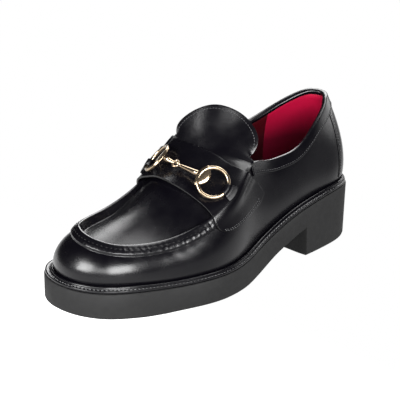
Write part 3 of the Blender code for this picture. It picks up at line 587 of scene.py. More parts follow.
# The front lining is its own panel behind a seam, and its much darker crimson is also painted shade from the
# tongue.
front_crimson_and_shade = make_crimson_with_painted_shade("crimson_front_lining", (0.006, 0.0, 0.0005), (0.02, 0.0, 0.001), 50, 112)
sock_crimson = make_crimson_with_painted_shade("crimson_insole_sock", (0.13, 0.0012, 0.012), (0.145, 0.0014, 0.013), 15, 45)

print("linings:", crimson.name, front_crimson_and_shade.name, sock_crimson.name)

# %% Rubber and gilt
rubber, shader = new_finish("matt_grey_rubber", (0.006, 0.006, 0.006), 0.72, shine=0.12)
tint(rubber, shader, noise(rubber, 260), (0.0058, 0.0058, 0.0059), (0.0073, 0.0073, 0.0074))
vary(rubber, shader.inputs["Roughness"], noise(rubber, 120), 0.66, 0.78)
add_bumps(rubber, shader, ((noise(rubber, 1900, 3.0), 0.05),))

gilt, shader = new_finish("pale_gilt", (0.26, 0.20, 0.135), 0.16, metallic=0.96)
vary(gilt, shader.inputs["Roughness"], noise(gilt, 500), 0.14, 0.18)
add_bumps(gilt, shader, ((noise(gilt, 900, 2.0), 0.008),))
print("finishes:", len(bpy.data.materials))

# %% [markdown]
# ## Sole unit
# The sole is one moulding of light rubber with a block heel. It could be an outline that is pulled up,
# with the arch cut away, but its top and its underside both follow the foot. So it is drawn as rings
# round its outline: the rings step in at the top and bottom to round the edges, and strips from one side
# to the other close the top and the tread. The heel's front face appears by itself where two stations
# share one place but not one height.

# %% Underside and stations of the sole
ARCH = (
    # s, z
    (66, 21.5), (76, 19.0), (84, 16.5), (93, 13.4), (102, 10.0), (110, 6.7),
    (118, 3.8), (126, 1.9), (136, 0.4), (152, 0.0), (168, 0.0),
)
TOE_SPRING = ((212, 0.0), (226, 1.1), (241, 2.8), (255, 3.7), (270, 4.2))
BREAST_S = 66.5
FLAT_FROM, FLAT_TO = 168.0, 212.0
HEEL_TAPER = 3.0
arch_spline = line_spline(ARCH)
toe_spline = line_spline(TOE_SPRING)


def rubber_bottom(s):
    """Underside of the sole ahead of the heel: the arch, the flat forefoot and the toe spring."""
    arch = np.maximum(arch_spline(s)[..., 0], 0.0)
    spring = np.maximum(toe_spline(s)[..., 0], 0.0)
    return np.where(s < FLAT_FROM, arch, np.where(s > FLAT_TO, spring, 0.0))


def side_columns(stations, out):
    """u on the lateral and the medial side where the moved outline reaches each station along the shoe."""
    u = np.linspace(0, LAP, 4001)
    width = last_row(u)[:, WELT] if out is None else np.full(len(u), out)
    s = outline(u, width)[:, 0]
    first, last = s[:2000].argmin(), s.argmax()
    back = s[3000:].argmin() + 3000
    if s[back] < s[first]:
        u_lateral = np.concatenate([u[back:-1] - LAP, u[:last + 1]])
        s_lateral = np.concatenate([s[back:-1], s[:last + 1]])
        u_medial, s_medial = u[last:back + 1], s[last:back + 1]
    else:
        u_lateral, s_lateral = u[first:last + 1], s[first:last + 1]
        u_medial = np.concatenate([u[last:], u[1:first + 1] + LAP])
        s_medial = np.concatenate([s[last:], s[1:first + 1]])
    low, high = s.min(), s.max()
    places = low + stations * (high - low)
    u_medial = np.interp(places, s_medial[::-1], u_medial[::-1])
    return np.interp(places, s_lateral, u_lateral), u_medial, places


print("arch at the front of the heel, mm above the floor:", ARCH[0][1])


# %% Make the sole unit
SOLE_STATIONS = 200
TREAD_PITCH, TREAD_DEPTH, TREAD_BORDER = 6.5, 1.1, 8.0
HEEL_TREAD_END, FRONT_TREAD_START = BREAST_S - 5.0, 140.0


def make_sole_unit():
    turn = np.linspace(0, math.pi, SOLE_STATIONS)
    stations = 0.5 * (1 - np.cos(turn)) * 0.6 + 0.4 * turn / math.pi
    _, _, places = side_columns(stations, None)
    breast = (BREAST_S - places[0]) / (places[-1] - places[0])
    stations = np.sort(np.concatenate([stations, [breast, breast + 1e-6]]))
    lateral, medial, places = side_columns(stations, None)
    u = np.concatenate([lateral, medial[-2:0:-1]])
    s = np.concatenate([places, places[-2:0:-1]])
    welt = last_row(u)[:, WELT]
    top = rubber_top(s)
    bottom = np.where(s <= BREAST_S + 1e-5, 0.0, rubber_bottom(s))
    wave = 0.5 + 0.5 * np.cos(2 * math.pi * s / TREAD_PITCH)
    on_floor = (s < HEEL_TREAD_END) | (s > FRONT_TREAD_START)
    tread = TREAD_DEPTH * smooth_step((wave - 0.6) / 0.2) * on_floor
    rings = (
        # distance in from the rim, height
        (7.0, top), (1.1, top), (0.35, top - 0.3), (0.0, top - 1.0), (0.0, 0.6 * top + 0.4 * bottom),
        (0.0, bottom + 1.6), (0.45, bottom + 0.5), (1.5, bottom), (TREAD_BORDER, bottom),
        (TREAD_BORDER + 0.6, bottom + tread),
    )
    rows = []
    for inset, z in rings:
        plan = outline(u, welt - inset)
        if inset > 2:
            plan[:, 1] = np.where(s < places[0] + 4, 0.5 * plan[:, 1], plan[:, 1])
        deep = (top - z) / np.maximum(top, 1.0)
        shift = HEEL_TAPER * np.maximum(0.0, 1 - s / BREAST_S) * deep
        rows.append(np.column_stack([plan[:, 0] + shift, plan[:, 1], z]))
    count = len(u)
    faces = grid_faces(len(rows), count, closed=True)
    far = len(stations) - 1
    for start, flip in ((0, False), ((len(rows) - 1) * count, True)):
        for i in range(far):
            a, b = (count - i) % count, count - i - 1
            face = [start + i, start + i + 1, start + b, start + a]
            face = [corner for k, corner in enumerate(face) if corner not in face[:k]]
            faces.append(tuple(reversed(face)) if flip else tuple(face))
    return add_piece("sole_unit", np.concatenate(rows), faces, rubber, ("outsole",))


make_sole_unit()

# %% [markdown]
# ## Welt
# The welt is the strip that joins upper and sole. Here a rolled bead lies against the upper, and outside
# it a groove holds a row of grey stitches. A curve with a bevel shape could draw it, but the strip gets
# wider round the toe. So one profile is swept round the outline point by point, which gives bead, groove
# and edge together.

# %% Make the welt and its stitches
SEAT_GAP = 0.3
WELT_INSET = 0.8
BEAD_WIDTH, BEAD_HEIGHT = 2.6, 1.6
GROOVE_OUT = 3.8


def make_welt():
    u = np.linspace(0, LAP, 420, endpoint=False)
    outer = last_row(u)[:, WELT] - WELT_INSET
    bead = []
    for angle in np.radians(np.linspace(-20, 170, 10)):
        out = SEAT_GAP + 0.5 * BEAD_WIDTH * (1 + 0.92 * math.cos(angle))
        bead.append((np.full_like(u, out), WELT_THICK + 0.35 + (BEAD_HEIGHT - 0.35) * math.sin(angle)))
    groove = np.minimum(np.full_like(u, GROOVE_OUT), outer - 0.2)
    profile = [
        (np.full_like(u, SEAT_GAP), SEAT_GAP), (outer, SEAT_GAP), (outer, WELT_THICK - 0.7),
        (outer - 0.15, WELT_THICK - 0.25), (0.5 * (outer + groove), WELT_THICK - 0.15),
        (groove, WELT_THICK - 0.8), *bead,
    ]
    rings = []
    for out, height in profile:
        plan = outline(u, out)
        rings.append(np.column_stack([plan, rubber_top(plan[:, 0]) + height]))
    points = np.concatenate(rings + rings[:1])
    add_piece("welt_with_bead", points, grid_faces(len(rings) + 1, len(u), closed=True), calf, ("welt",))


def make_welt_stitches():
    u = np.linspace(0, LAP, 900)
    plan = outline(u, np.minimum(last_row(u)[:, WELT] - WELT_INSET - 0.4, GROOVE_OUT))
    path = np.column_stack([plan, rubber_top(plan[:, 0]) + WELT_THICK - 0.55])
    upright = np.tile([0.0, 0.0, 1.0], (len(u), 1))
    run = stitch_run(path, upright, pitch=2.9, length=2.1, thick=0.36)
    add_stitches("welt_stitches", [run], welt_thread)


make_welt()
make_welt_stitches()

# %% [markdown]
# ## Insole
# The sock inside the shoe is a thin crimson sheet glued over the insole board. A flat cut-out would do
# from far away. A sheet of strips from side to side can also follow the sole's slope and dip a little in
# the middle, as a footbed does.

# %% Make the insole sock
WALL = 1.8
INSOLE_THICK, INSOLE_DIP = 3.0, 0.8


def make_sock():
    inside = -(WALL + SEAT_GAP + 0.4)
    turn = np.linspace(0.02, math.pi - 0.02, 70)
    lateral, medial, places = side_columns(0.5 * (1 - np.cos(turn)), inside)
    ends = outline(lateral, np.full_like(lateral, inside)), outline(medial, np.full_like(medial, inside))
    across = np.linspace(0, 1, 17)[None, :, None]
    plan = ends[0][:, None] * (1 - across) + ends[1][:, None] * across
    dip = INSOLE_DIP * (1 - (2 * across[..., 0] - 1) ** 2) * smooth_step((places - places[0]) / 25)[:, None]
    level = rubber_top(plan[..., 0]) + SEAT_GAP
    upper_side = np.concatenate([plan, (level + INSOLE_THICK - dip)[..., None]], -1)
    under_side = np.concatenate([plan, level[..., None]], -1)
    points, faces, _ = sheet(upper_side, under_side)
    add_piece("insole_sock", points, faces, sock_crimson, ("insole",), bevel=0.5)


make_sock()

# %% [markdown]
# ## Upper
# The vamp is pulled up and gathered on to the plug, and the seam stands up as a ridge. Leather that is
# gathered swells between the stitches and dips at each one, so the ridge gets a dimple for every stitch
# and fine wrinkles between. A few soft creases under the ridge are given one by one. Cloth simulation could
# wrinkle it, but lasted leather is stiff and its gathers are even. So everything is moved along the
# surface's own normal, on a grid that is closest where the ridge needs it.

# %% Relief of the gathered seam
RIDGE = line_spline((
    # drop below the wall's top edge, height
    (0.0, 2.7), (0.7, 3.2), (1.4, 3.3), (2.3, 3.1), (3.4, 2.75), (5.0, 2.4), (6.4, 1.95),
    (7.1, 1.7), (7.5, 1.3), (7.8, 0.6), (8.1, 0.15), (8.6, 0.02), (10.0, 0.0),
))
# The seam's inner face: share of the way from the top edge to the plug's edge, and height.
RIDGE_INSIDE = ((0.12, 2.3), (0.3, 1.55), (0.55, 0.8), (0.8, 0.25), (0.93, 0.0))
RIDGE_FADE = 0.08
RIDGE_END = 10.0
PLEAT_PITCH, PLEAT_AT, PLEAT_WIDTH, PLEAT_DEPTH = 4.4, 4.1, 1.7, 0.35
SWELL_AT, SWELL_WIDTH, SWELL_HEIGHT = 5.6, 1.5, 0.12
WRINKLE_PITCH, WRINKLE_HEIGHT = 2.2, 0.08
EDGE_WAVER = 0.08
CREASES = (
    # side, along and drop at the start, along and drop at the end, depth, width
    (1, 0.47, 9.5, 0.40, 21.0, 0.06, 2.4),
    (1, 0.53, 9.5, 0.47, 20.0, 0.05, 2.2),
    (1, 0.42, 9.5, 0.36, 23.0, 0.06, 2.6),
    (-1, 0.47, 9.5, 0.41, 21.0, 0.06, 2.4),
    (-1, 0.54, 9.5, 0.49, 20.0, 0.05, 2.2),
)
SIDE_RUN = 165.0


def seam_relief(u, drop, along, side):
    """Height of the leather above the plain wall: ridge, gathers and creases, in millimetres."""
    front = smooth_step(along / RIDGE_FADE)
    lively = 0.65 + 0.35 * np.sin(0.83 * u) * np.sin(0.37 * u + 1.0)
    gather = 0.8 + 0.2 * smooth_step((0.62 - along) / 0.25)
    waver = EDGE_WAVER * np.sin(0.9 * u)
    height = RIDGE(np.clip(drop + waver * smooth_step((drop - 5) / 2), 0, RIDGE_END))[..., 0]
    pleat = (0.5 + 0.5 * np.cos(2 * math.pi * u / PLEAT_PITCH)) ** 2
    dip = np.exp(-(((drop - PLEAT_AT) / PLEAT_WIDTH) ** 2))
    swell = np.exp(-(((drop - SWELL_AT) / SWELL_WIDTH) ** 2))
    fold = np.sin(2 * math.pi * u / WRINKLE_PITCH + 1.7 * np.sin(0.45 * u) + 0.5 * drop)
    band = smooth_step((drop - 1.5) / 2) * smooth_step((8.0 - drop) / 2)
    gathers = SWELL_HEIGHT * (1 - pleat) * swell - PLEAT_DEPTH * pleat * dip
    height = (height + gather * lively * gathers + WRINKLE_HEIGHT * fold * band) * front
    for crease_side, along_a, drop_a, along_b, drop_b, depth, width in CREASES:
        start = np.array([along_a * SIDE_RUN, drop_a])
        reach = np.array([along_b * SIDE_RUN, drop_b]) - start
        x, y = along * SIDE_RUN - start[0], drop - start[1]
        share = np.clip((x * reach[0] + y * reach[1]) / reach.dot(reach), 0, 1)
        distance = np.hypot(x - share * reach[0], y - share * reach[1])
        trough = np.exp(-((distance / width) ** 2)) - 0.45 * np.exp(-(((distance - 2 * width) / width) ** 2))
        height = height - depth * trough * (1 - 0.7 * share) * (side == crease_side) * (along > 0)
    return height


print("gathers on each side:", round(SIDE_RUN / PLEAT_PITCH))


# %% Columns of the upper
def upper_columns(join, front, side, heel):
    """u, along and side of each column, from the lateral throat round the toe and the heel."""
    along = np.concatenate([np.linspace(0, PLUG_BACK, join + 1)[:-1], np.linspace(PLUG_BACK, 1, front + 1)])
    heel_medial, heel_lateral = KNOTS[SECTION["heel_medial"]], LAP + KNOTS[SECTION["heel_lateral"]]
    back = np.concatenate([
        np.linspace(U_MEDIAL, heel_medial, side + 1)[1:-1],
        np.linspace(heel_medial, heel_lateral, heel + 1)[:-1],
        np.linspace(heel_lateral, LAP + U_LATERAL, side + 1)[:-1],
    ])
    u = np.concatenate([side_u(along, 1), side_u(along[-2::-1], -1), back])
    places = np.concatenate([along, along[-2::-1], np.full(len(back), -1.0)])
    sides = np.concatenate([np.ones(len(along)), -np.ones(len(along) - 1), np.zeros(len(back))])
    return u, places, sides


# %% Grid of the upper
class UpperGrid:
    """The columns of the upper and the faces that join wall, plug and rims."""

    def __init__(self, join, front, side, heel, across):
        self.join, self.front = join, front
        self.tip = join + front
        self.across = across
        self.u, self.along, self.side = upper_columns(join, front, side, heel)
        self.foot_of_ridge = wall_share(self.u, RIDGE_END + 1.5)
        self.top_normal = wall_normal(self.u, np.ones_like(self.u))
        seam = self.along >= PLUG_BACK
        near_plug = sheet_normal(plug, np.minimum(self.along[seam], 0.995), 0.97 * self.side[seam])
        self.top_normal[seam] = unit(self.top_normal[seam] + near_plug)

    def points(self, depth, shares, drops, relief):
        """One face of the wall: a foot row, the wall rows, then the plug's inner points."""
        count = len(self.u)
        foot = outline(self.u, np.full(count, -depth))
        rows = [np.column_stack([foot, rubber_top(foot[:, 0]) + SEAT_GAP])]
        lengths = wall_share(self.u, 0.0)
        for share in shares:
            v = share * self.foot_of_ridge
            normal = wall_normal(self.u, v)
            drop = np.linalg.norm(wall(self.u, v) - wall(self.u, lengths), axis=-1)
            raised = relief * seam_relief(self.u, np.maximum(drop, RIDGE_END), self.along, self.side)
            rows.append(wall(self.u, v) + (raised - depth)[:, None] * normal)
        for drop in drops:
            v = wall_share(self.u, drop)
            normal = wall_normal(self.u, v) if drop > 0 else self.top_normal
            raised = relief * seam_relief(self.u, np.full(count, drop), self.along, self.side)
            rows.append(wall(self.u, v) + (raised - depth)[:, None] * normal)
        top, edge = wall(self.u, np.ones(count)), plug_edge(self.u, self.along)
        for share, height in (*(RIDGE_INSIDE if relief else ()), (1.0, 0.0)):
            raised = height * smooth_step(self.along / RIDGE_FADE) - depth
            rows.append(top + share * (edge - top) + raised[:, None] * self.top_normal)
        at = self.along[self.join:self.tip, None]
        inner = plug(at, self.across) - depth * sheet_normal(plug, at, self.across)
        return np.concatenate(rows + [inner.reshape(-1, 3)]), len(rows)

    def faces(self, rows, start):
        """Faces of one side, with the loops of points along the topline and along the foot."""
        count = len(self.u)
        width = len(self.across)
        faces = grid_faces(rows, count, start, closed=True)
        edge, inner = start + (rows - 1) * count, start + rows * count
        lines = []
        for j in range(self.front):
            middle = [inner + j * width + c for c in range(width)]
            lines.append([edge + self.join + j] + middle + [edge + 2 * self.tip - self.join - j])
        for line, after in zip(lines, lines[1:]):
            faces += [(line[c], line[c + 1], after[c + 1], after[c]) for c in range(width + 1)]
        faces += [(lines[-1][c], lines[-1][c + 1], edge + self.tip) for c in range(width + 1)]
        rim = [edge + i % count for i in range(2 * self.tip - self.join, count + self.join + 1)]
        return faces, rim + lines[0][1:-1], [start + i for i in range(count)]

    def shell(self, outer, inner):
        """Points and faces of the wall between two faces: each has a depth, shares, drops and relief."""
        outside, outer_rows = self.points(*outer)
        inside, inner_rows = self.points(*inner)
        outer_faces, outer_rim, outer_foot = self.faces(outer_rows, 0)
        inner_faces, inner_rim, inner_foot = self.faces(inner_rows, len(outside))
        faces = outer_faces + [tuple(reversed(face)) for face in inner_faces]
        for outer_loop, inner_loop in ((outer_rim, inner_rim), (outer_foot, inner_foot)):
            pairs = list(zip(outer_loop, inner_loop))
            for (a, b), (c, d) in zip(pairs, pairs[1:] + pairs[:1]):
                faces.append((a, c, d, b))
        return np.concatenate([outside, inside]), faces


# %% Make the upper's leather and its lining
LEATHER = 1.0
LINING_FROM, LINING_TO = 1.05, 1.75
LINING_SEAM = 49.0
RIDGE_DROPS = np.concatenate([np.linspace(10.6, 8.8, 4), np.linspace(8.5, 7.0, 9), np.linspace(6.6, 0.0, 19)])
EDGE_STEPS = np.array([0.985, 0.96])
PLUG_ACROSS = np.concatenate([EDGE_STEPS, np.linspace(0.92, -0.92, 41), -EDGE_STEPS[::-1]])


def make_upper():
    leather_grid = UpperGrid(join=14, front=150, side=40, heel=56, across=PLUG_ACROSS)
    print("columns round the upper:", len(leather_grid.u))
    outer = (0.0, np.linspace(0, 1, 24), RIDGE_DROPS, 1.0)
    inner = (LEATHER, np.linspace(0, 1, 7), (7.0,), 0.0)
    points, faces = leather_grid.shell(outer, inner)
    add_piece("upper_leather", points, faces, calf, ("upper",))
    lining_grid = UpperGrid(join=6, front=44, side=20, heel=30, across=np.linspace(0.9, -0.9, 15))
    near = (LINING_FROM, np.linspace(0, 1, 9), (7.0,), 0.0)
    far = (LINING_TO, np.linspace(0, 1, 9), (7.0,), 0.0)
    points, faces = lining_grid.shell(near, far)
    # Faces ahead of the seam take the darker front lining, which also carries painted shade from the tongue.
    faces.sort(key=lambda face: points[list(face), 0].mean() > LINING_SEAM)
    behind = sum(points[list(face), 0].mean() <= LINING_SEAM for face in faces)
    add_piece("upper_lining", points, faces, crimson, edge=(front_crimson_and_shade, behind))


make_upper()

# %% [markdown]
# ## Moc seam
# The seam between vamp and plug is sewn with waxed thread, and each stitch pulls in a little leather. An
# array along a curve could repeat one stitch. The runs of stitches made above also follow the height of
# the ridge, so the thread lies on the leather everywhere.

# %% Sew the moc seam
MOC_PITCH = 0.82 * PLEAT_PITCH
MOC_START = 0.28


def make_moc_stitches():
    runs = []
    for side in (1, -1):
        along = np.linspace(MOC_START, 1.0, 500)
        u = side_u(along, side)
        v = wall_share(u, PLEAT_AT)
        raised = seam_relief(u, np.full_like(u, PLEAT_AT), along, np.full_like(u, side))
        normal = wall_normal(u, v)
        path = wall(u, v) + raised[:, None] * normal
        runs.append(stitch_run(path, normal, MOC_PITCH, length=1.7, thick=0.28))
    add_stitches("moc_seam_stitches", runs, thread)


make_moc_stitches()

# %% [markdown]
# ## Tongue
# The tongue is the plug's own leather, which runs on under the saddle and stands up to a rounded free
# edge. It is lined in crimson and sewn along its edge. A flat patch could be bent by a modifier, but its
# foot has to lie on the instep and its sides lap over the quarters. So its rows follow the plug first and
# then swing up to the edge in one curve.

# %% Surface of the tongue
TONGUE_EDGE = (
    # step, s, t, z
    (0, 114.0, 27.4, 90.0), (1, 107.1, 24.5, 99.6), (2, 106.4, 12.3, 110.6), (3, 114.4, 1.3, 118.1),
    (4, 122.8, -9.2, 118.9), (5, 130.3, -21.0, 112.0), (6, 135.0, -28.8, 102.5), (7, 136.0, -29.3, 94.5),
)
TONGUE_SIDE, TONGUE_FOOT = 0.9, 1.05
TONGUE_LAP = 2.8
TONGUE_BASE = PLUG_BACK - 0.006
tongue_edge = line_spline(TONGUE_EDGE)


def tongue_grid(rise, across):
    """Points of the tongue's face: rise is 0 at the throat, 1 on the free edge and below 0 along the plug."""
    rise, across = np.broadcast_arrays(rise, across)
    lap = 1 - smooth_step((rise - 0.1) / 0.7)
    wide = across * (1 + (TONGUE_FOOT / TONGUE_SIDE - 1) * lap)
    throat = instep(np.zeros_like(across), wide)
    slope = (instep(np.full_like(across, 0.01), wide) - throat) / 0.01
    end = tongue_edge((TONGUE_SIDE - across) / (2 * TONGUE_SIDE) * TONGUE_EDGE[-1][0])
    reach = end - throat
    start_way = -slope * (np.linalg.norm(reach, axis=-1) / np.linalg.norm(slope, axis=-1))[..., None]
    r = np.clip(rise, 0, 1)[..., None]
    standing = throat + r * reach + 0.35 * r * (1 - r) ** 2 * (start_way - reach)
    along = np.clip(-rise, 0, 1) * TONGUE_BASE
    points = np.where((rise >= 0)[..., None], standing, instep(along, wide))
    lift = TONGUE_LAP * lap * smooth_step((np.abs(wide) - 0.25) / 0.75)
    return points + lift[..., None] * sheet_normal(instep, along + 0.01, np.clip(wide, -0.9, 0.9))


print("top of the tongue, mm above the floor:", max(row[3] for row in TONGUE_EDGE))

# %% Make the tongue, its lining and its stitches
TONGUE_THICK = 1.8
TONGUE_LEATHER, TONGUE_LINING_FROM = 1.1, 1.13
TONGUE_MARGIN = 3.0


def grid_normals(points):
    """The way a grid of points faces at each of them."""
    return unit(np.cross(np.gradient(points, axis=0), np.gradient(points, axis=1)))


def make_tongue():
    rise = np.concatenate([np.linspace(-1, 0, 7)[:-1], np.linspace(0, 1, 30)])[:, None]
    across = np.linspace(TONGUE_SIDE, -TONGUE_SIDE, 61)[None, :]
    face = tongue_grid(rise, across)
    normal = grid_normals(face)
    points, faces, broad = sheet(face, face - TONGUE_LEATHER * normal)
    add_piece("tongue_leather", points, faces, calf, ("tongue",), bevel=0.35, edge=(cut_edge, broad))
    rows, columns = slice(6, -1), slice(4, -4)
    lining, lean = face[rows, columns], normal[rows, columns]
    points, faces, _ = sheet(lining - TONGUE_LINING_FROM * lean, lining - TONGUE_THICK * lean)
    add_piece("tongue_lining", points, faces, crimson, bevel=0.2)
    inset = np.linspace(0.965, -0.965, 400) * TONGUE_SIDE
    tall = tongue_grid(np.array(1.0), inset) - tongue_grid(np.array(0.0), inset)
    margin = TONGUE_MARGIN / np.linalg.norm(tall, axis=-1)
    path = tongue_grid(1 - margin, inset)
    beside = tongue_grid(1 - margin - 0.02, inset)
    lean = unit(np.cross(np.gradient(path, axis=0), beside - path))
    run = stitch_run(path, lean, pitch=2.2, length=1.7, thick=0.32, lift=0.05)
    add_stitches("tongue_stitches", [run], edge_thread)


make_tongue()

# %% [markdown]
# ## Saddle
# The saddle is a wide strap draped over the plug and both seams, with a rounded wing on each side. It
# humps where it crosses the raised seam. A Shrinkwrap modifier could press it on to the upper, but it
# would copy every gather. So the grid is bent over the seam by mixing the normals of plug and wall, which
# gives the soft fold that a leather strap makes there.

# %% Saddle surface
SADDLE_EDGES = (
    # w, along at the upper edge, along at the front edge
    (-2.0, -0.03, 0.2), (-1.5, 0.0, 0.21), (-1.0, 0.055, 0.215), (-0.5, 0.0, 0.265), (0.0, 0.0, 0.32),
    (0.5, 0.025, 0.315), (1.0, 0.06, 0.295), (1.5, 0.0, 0.3), (2.0, -0.05, 0.285),
)
SADDLE_WING = (
    # share, depth below the seam
    (0.0, 22.5), (0.08, 27.5), (0.2, 29.5), (0.4, 27.0), (0.7, 20.0), (0.9, 15.5), (1.0, 11.5),
)
SADDLE_THICK, SADDLE_GAP = 1.4, 0.4
SADDLE_HUMP, HUMP_AT, HUMP_WIDTH = 3.8, 0.5, 7.4
PLUG_HALF_WIDTH = 30.0
FOLD_REACH, FOLD_FLANK = 5.0, 3.0
saddle_edges = line_spline(SADDLE_EDGES)
saddle_wing = line_spline(SADDLE_WING)


def saddle_surface(share, place, lift):
    """Points of the saddle: share runs from the upper to the front edge, place from wing tip to wing tip."""
    share, place = np.broadcast_arrays(np.asarray(share, float), np.asarray(place, float))
    edges = saddle_edges(np.clip(place, -2, 2))
    along = edges[..., 0] + share * (edges[..., 1] - edges[..., 0])
    side = np.where(place < 0, -1.0, 1.0)
    beyond = np.abs(place) - 1
    away = np.where(beyond > 0, beyond * saddle_wing(share)[..., 0], beyond * PLUG_HALF_WIDTH)
    u = side_u(along, side)
    on_wall = wall(u, wall_share(u, np.maximum(away, 0)))
    on_plug = instep(along, np.clip(place, -1, 1))
    point = np.where((beyond > 0)[..., None], on_wall, on_plug)
    wall_way = wall_normal(u, wall_share(u, np.maximum(away, FOLD_FLANK)))
    plug_way = sheet_normal(instep, along, side * (1 - np.maximum(-away, FOLD_FLANK) / PLUG_HALF_WIDTH))
    mix = smooth_step((away + FOLD_REACH) / (2 * FOLD_REACH))[..., None]
    normal = unit((1 - mix) * plug_way + mix * wall_way)
    hump = SADDLE_HUMP * np.exp(-(((away - HUMP_AT) / HUMP_WIDTH) ** 2))
    return point + (SADDLE_GAP + hump + lift)[..., None] * normal


print("depth of the wings below the seam, mm:", max(row[1] for row in SADDLE_WING))

# %% Make the saddle and its stitches
EDGE_PITCH, EDGE_LENGTH = 2.3, 1.6


def make_saddle():
    shares = np.concatenate([[0.0, 0.012], np.linspace(0.03, 0.97, 44), [0.988, 1.0]])[:, None]
    half = np.concatenate([
        np.linspace(0, 0.7, 22)[:-1], np.linspace(0.7, 1.4, 40)[:-1], np.linspace(1.4, 2, 26),
    ])
    places = np.concatenate([-half[:0:-1], half])[None, :]
    outer, inner = (saddle_surface(shares, places, lift) for lift in (SADDLE_THICK, 0.0))
    points, faces, broad = sheet(outer, inner)
    add_piece("saddle_strap", points, faces, calf, ("saddle",), bevel=0.4, edge=(cut_edge, broad))


def saddle_path(shares, places):
    """A line on the saddle's face and the way its leather faces there."""
    path = saddle_surface(shares, places, SADDLE_THICK)
    return path, unit(path - saddle_surface(shares, places, 0.0))


def make_saddle_stitches():
    runs = []
    for side in (1, -1):
        for inset in (0.07, 0.14):
            shares = np.linspace(0.1, 0.93, 200)
            path, lean = saddle_path(shares, np.full(200, side * (2 - inset)))
            runs.append(stitch_run(path, lean, EDGE_PITCH, EDGE_LENGTH, thick=0.3, lift=0.05))
    add_stitches("saddle_stitches", runs, edge_thread)


make_saddle()
make_saddle_stitches()

# %% [markdown]
# ## Topline binding
# A folded band covers the raw topline. A round tube along the edge would look like piping, while this
# band has a flat outer leg and a short inner one. So its profile, a rounded U over the edge, is carried
# along the topline. The outer leg ends in a rolled lip with a row of stitches just inside it.

# %% Make the binding
BINDING_THICK = 0.9
BINDING_END = 0.4
BINDING_OUTER = (8.2, 7.9, 7.2, 5.5, 3.6, 2.0, 0.9, 0.3)
BINDING_INNER = (0.5, 1.2, 1.7, 2.0)
BINDING_STITCH = 6.5


def make_binding():
    u = np.linspace(U_MEDIAL + BINDING_END, LAP + U_LATERAL - BINDING_END, 220)
    top, normal = wall(u, np.ones_like(u)), wall_normal(u, np.ones_like(u))
    up = unit(top - wall(u, wall_share(u, 2.0)))
    near, far = SEAT_GAP - 0.2, SEAT_GAP + BINDING_THICK

    def leg(drop, out):
        v = wall_share(u, drop)
        return wall(u, v) + out * wall_normal(u, v)

    lines = [leg(BINDING_OUTER[0], 0.55 * far), leg(BINDING_OUTER[1], 0.9 * far)]
    lines += [leg(drop, far) for drop in BINDING_OUTER[2:]]
    middle, reach = 0.5 * WALL, far + 0.5 * WALL
    for angle in np.radians(np.linspace(0, 180, 9)):
        lines.append(top + (reach * math.cos(angle) - middle) * normal + far * math.sin(angle) * up)
    lines += [leg(drop, -WALL - far) for drop in BINDING_INNER]
    lines += [leg(drop, -WALL - near) for drop in reversed(BINDING_INNER)]
    lines += [top - (WALL + near) * normal + near * up, top + near * normal + near * up]
    lines += [leg(drop, near) for drop in reversed(BINDING_OUTER)]
    count = len(u)
    faces = grid_faces(len(lines) + 1, count)
    for end in (0, count - 1):
        faces.append(tuple(i * count + end for i in range(len(lines))))
    add_piece("topline_binding", np.concatenate(lines + lines[:1]), faces, calf, ("collar_binding",))
    v = wall_share(u, BINDING_STITCH)
    lean = wall_normal(u, v)
    run = stitch_run(wall(u, v) + far * lean, lean, EDGE_PITCH, EDGE_LENGTH, thick=0.24)
    add_stitches("binding_stitches", [run], edge_thread)


make_binding()

# %% [markdown]
# ## Backstay and heel panel
# A narrow strip covers the seam at the back of the heel, and a thinner panel under it wraps the heel as
# far as a row of stitches on each side. Both could be drawn into the upper as creases. As sheets of their
# own they have real edges that catch light. One function makes both from the wall's own surface.

# %% Make the backstay
BACKSTAY_HALF, BACKSTAY_THICK = 7.0, 1.0
COUNTER_HALF, COUNTER_THICK = 31.0, 0.6
BACKSTAY_FOOT, BACKSTAY_TOP = 0.06, 8.7
STITCH_MARGIN = 1.8


def heel_strip(half, columns, near, far):
    """Points, faces and number of broad faces of a strip over the back seam, below the binding."""
    u = (LAP + np.linspace(-half, half, columns))[None, :]
    share = np.linspace(0, 1, 40)[:, None]
    v = BACKSTAY_FOOT + share * (wall_share(u, BACKSTAY_TOP) - BACKSTAY_FOOT)
    normal = wall_normal(u + 0 * v, v)
    base = wall(u + 0 * v, v)
    return sheet(base + far * normal, base + near * normal)


def heel_stitches(half, height):
    """A run of stitches along each edge of such a strip."""
    runs = []
    for side in (1, -1):
        u = np.full(120, LAP + side * (half - STITCH_MARGIN))
        v = BACKSTAY_FOOT + np.linspace(0.02, 0.98, 120) * (wall_share(u, BACKSTAY_TOP) - BACKSTAY_FOOT)
        lean = wall_normal(u, v)
        path = wall(u, v) + height * lean
        runs.append(stitch_run(path, lean, EDGE_PITCH, EDGE_LENGTH, thick=0.28, lift=0.02))
    return runs


def make_backstay():
    points, faces, broad = heel_strip(COUNTER_HALF, 53, 0.05, COUNTER_THICK)
    add_piece("heel_counter", points, faces, calf, bevel=0.15, edge=(cut_edge, broad))
    far = SEAT_GAP + BACKSTAY_THICK
    points, faces, broad = heel_strip(BACKSTAY_HALF, 17, SEAT_GAP - 0.2, far)
    add_piece("backstay_strip", points, faces, calf, ("backstay",), bevel=0.3, edge=(cut_edge, broad))
    runs = heel_stitches(BACKSTAY_HALF, far) + heel_stitches(COUNTER_HALF, COUNTER_THICK)
    add_stitches("backstay_stitches", runs, edge_thread)


make_backstay()

# %% [markdown]
# ## Bit
# The ornament is a small snaffle: two rings, and a bar in two halves that link at the centre. Bevelled
# curves could draw it, but rings of points keep the sizes exact and the ends closed. The rings turn, so
# each rides on its own body, and all places are worked out in the ring's own frame: along its axis,
# towards the bar and towards its loop.

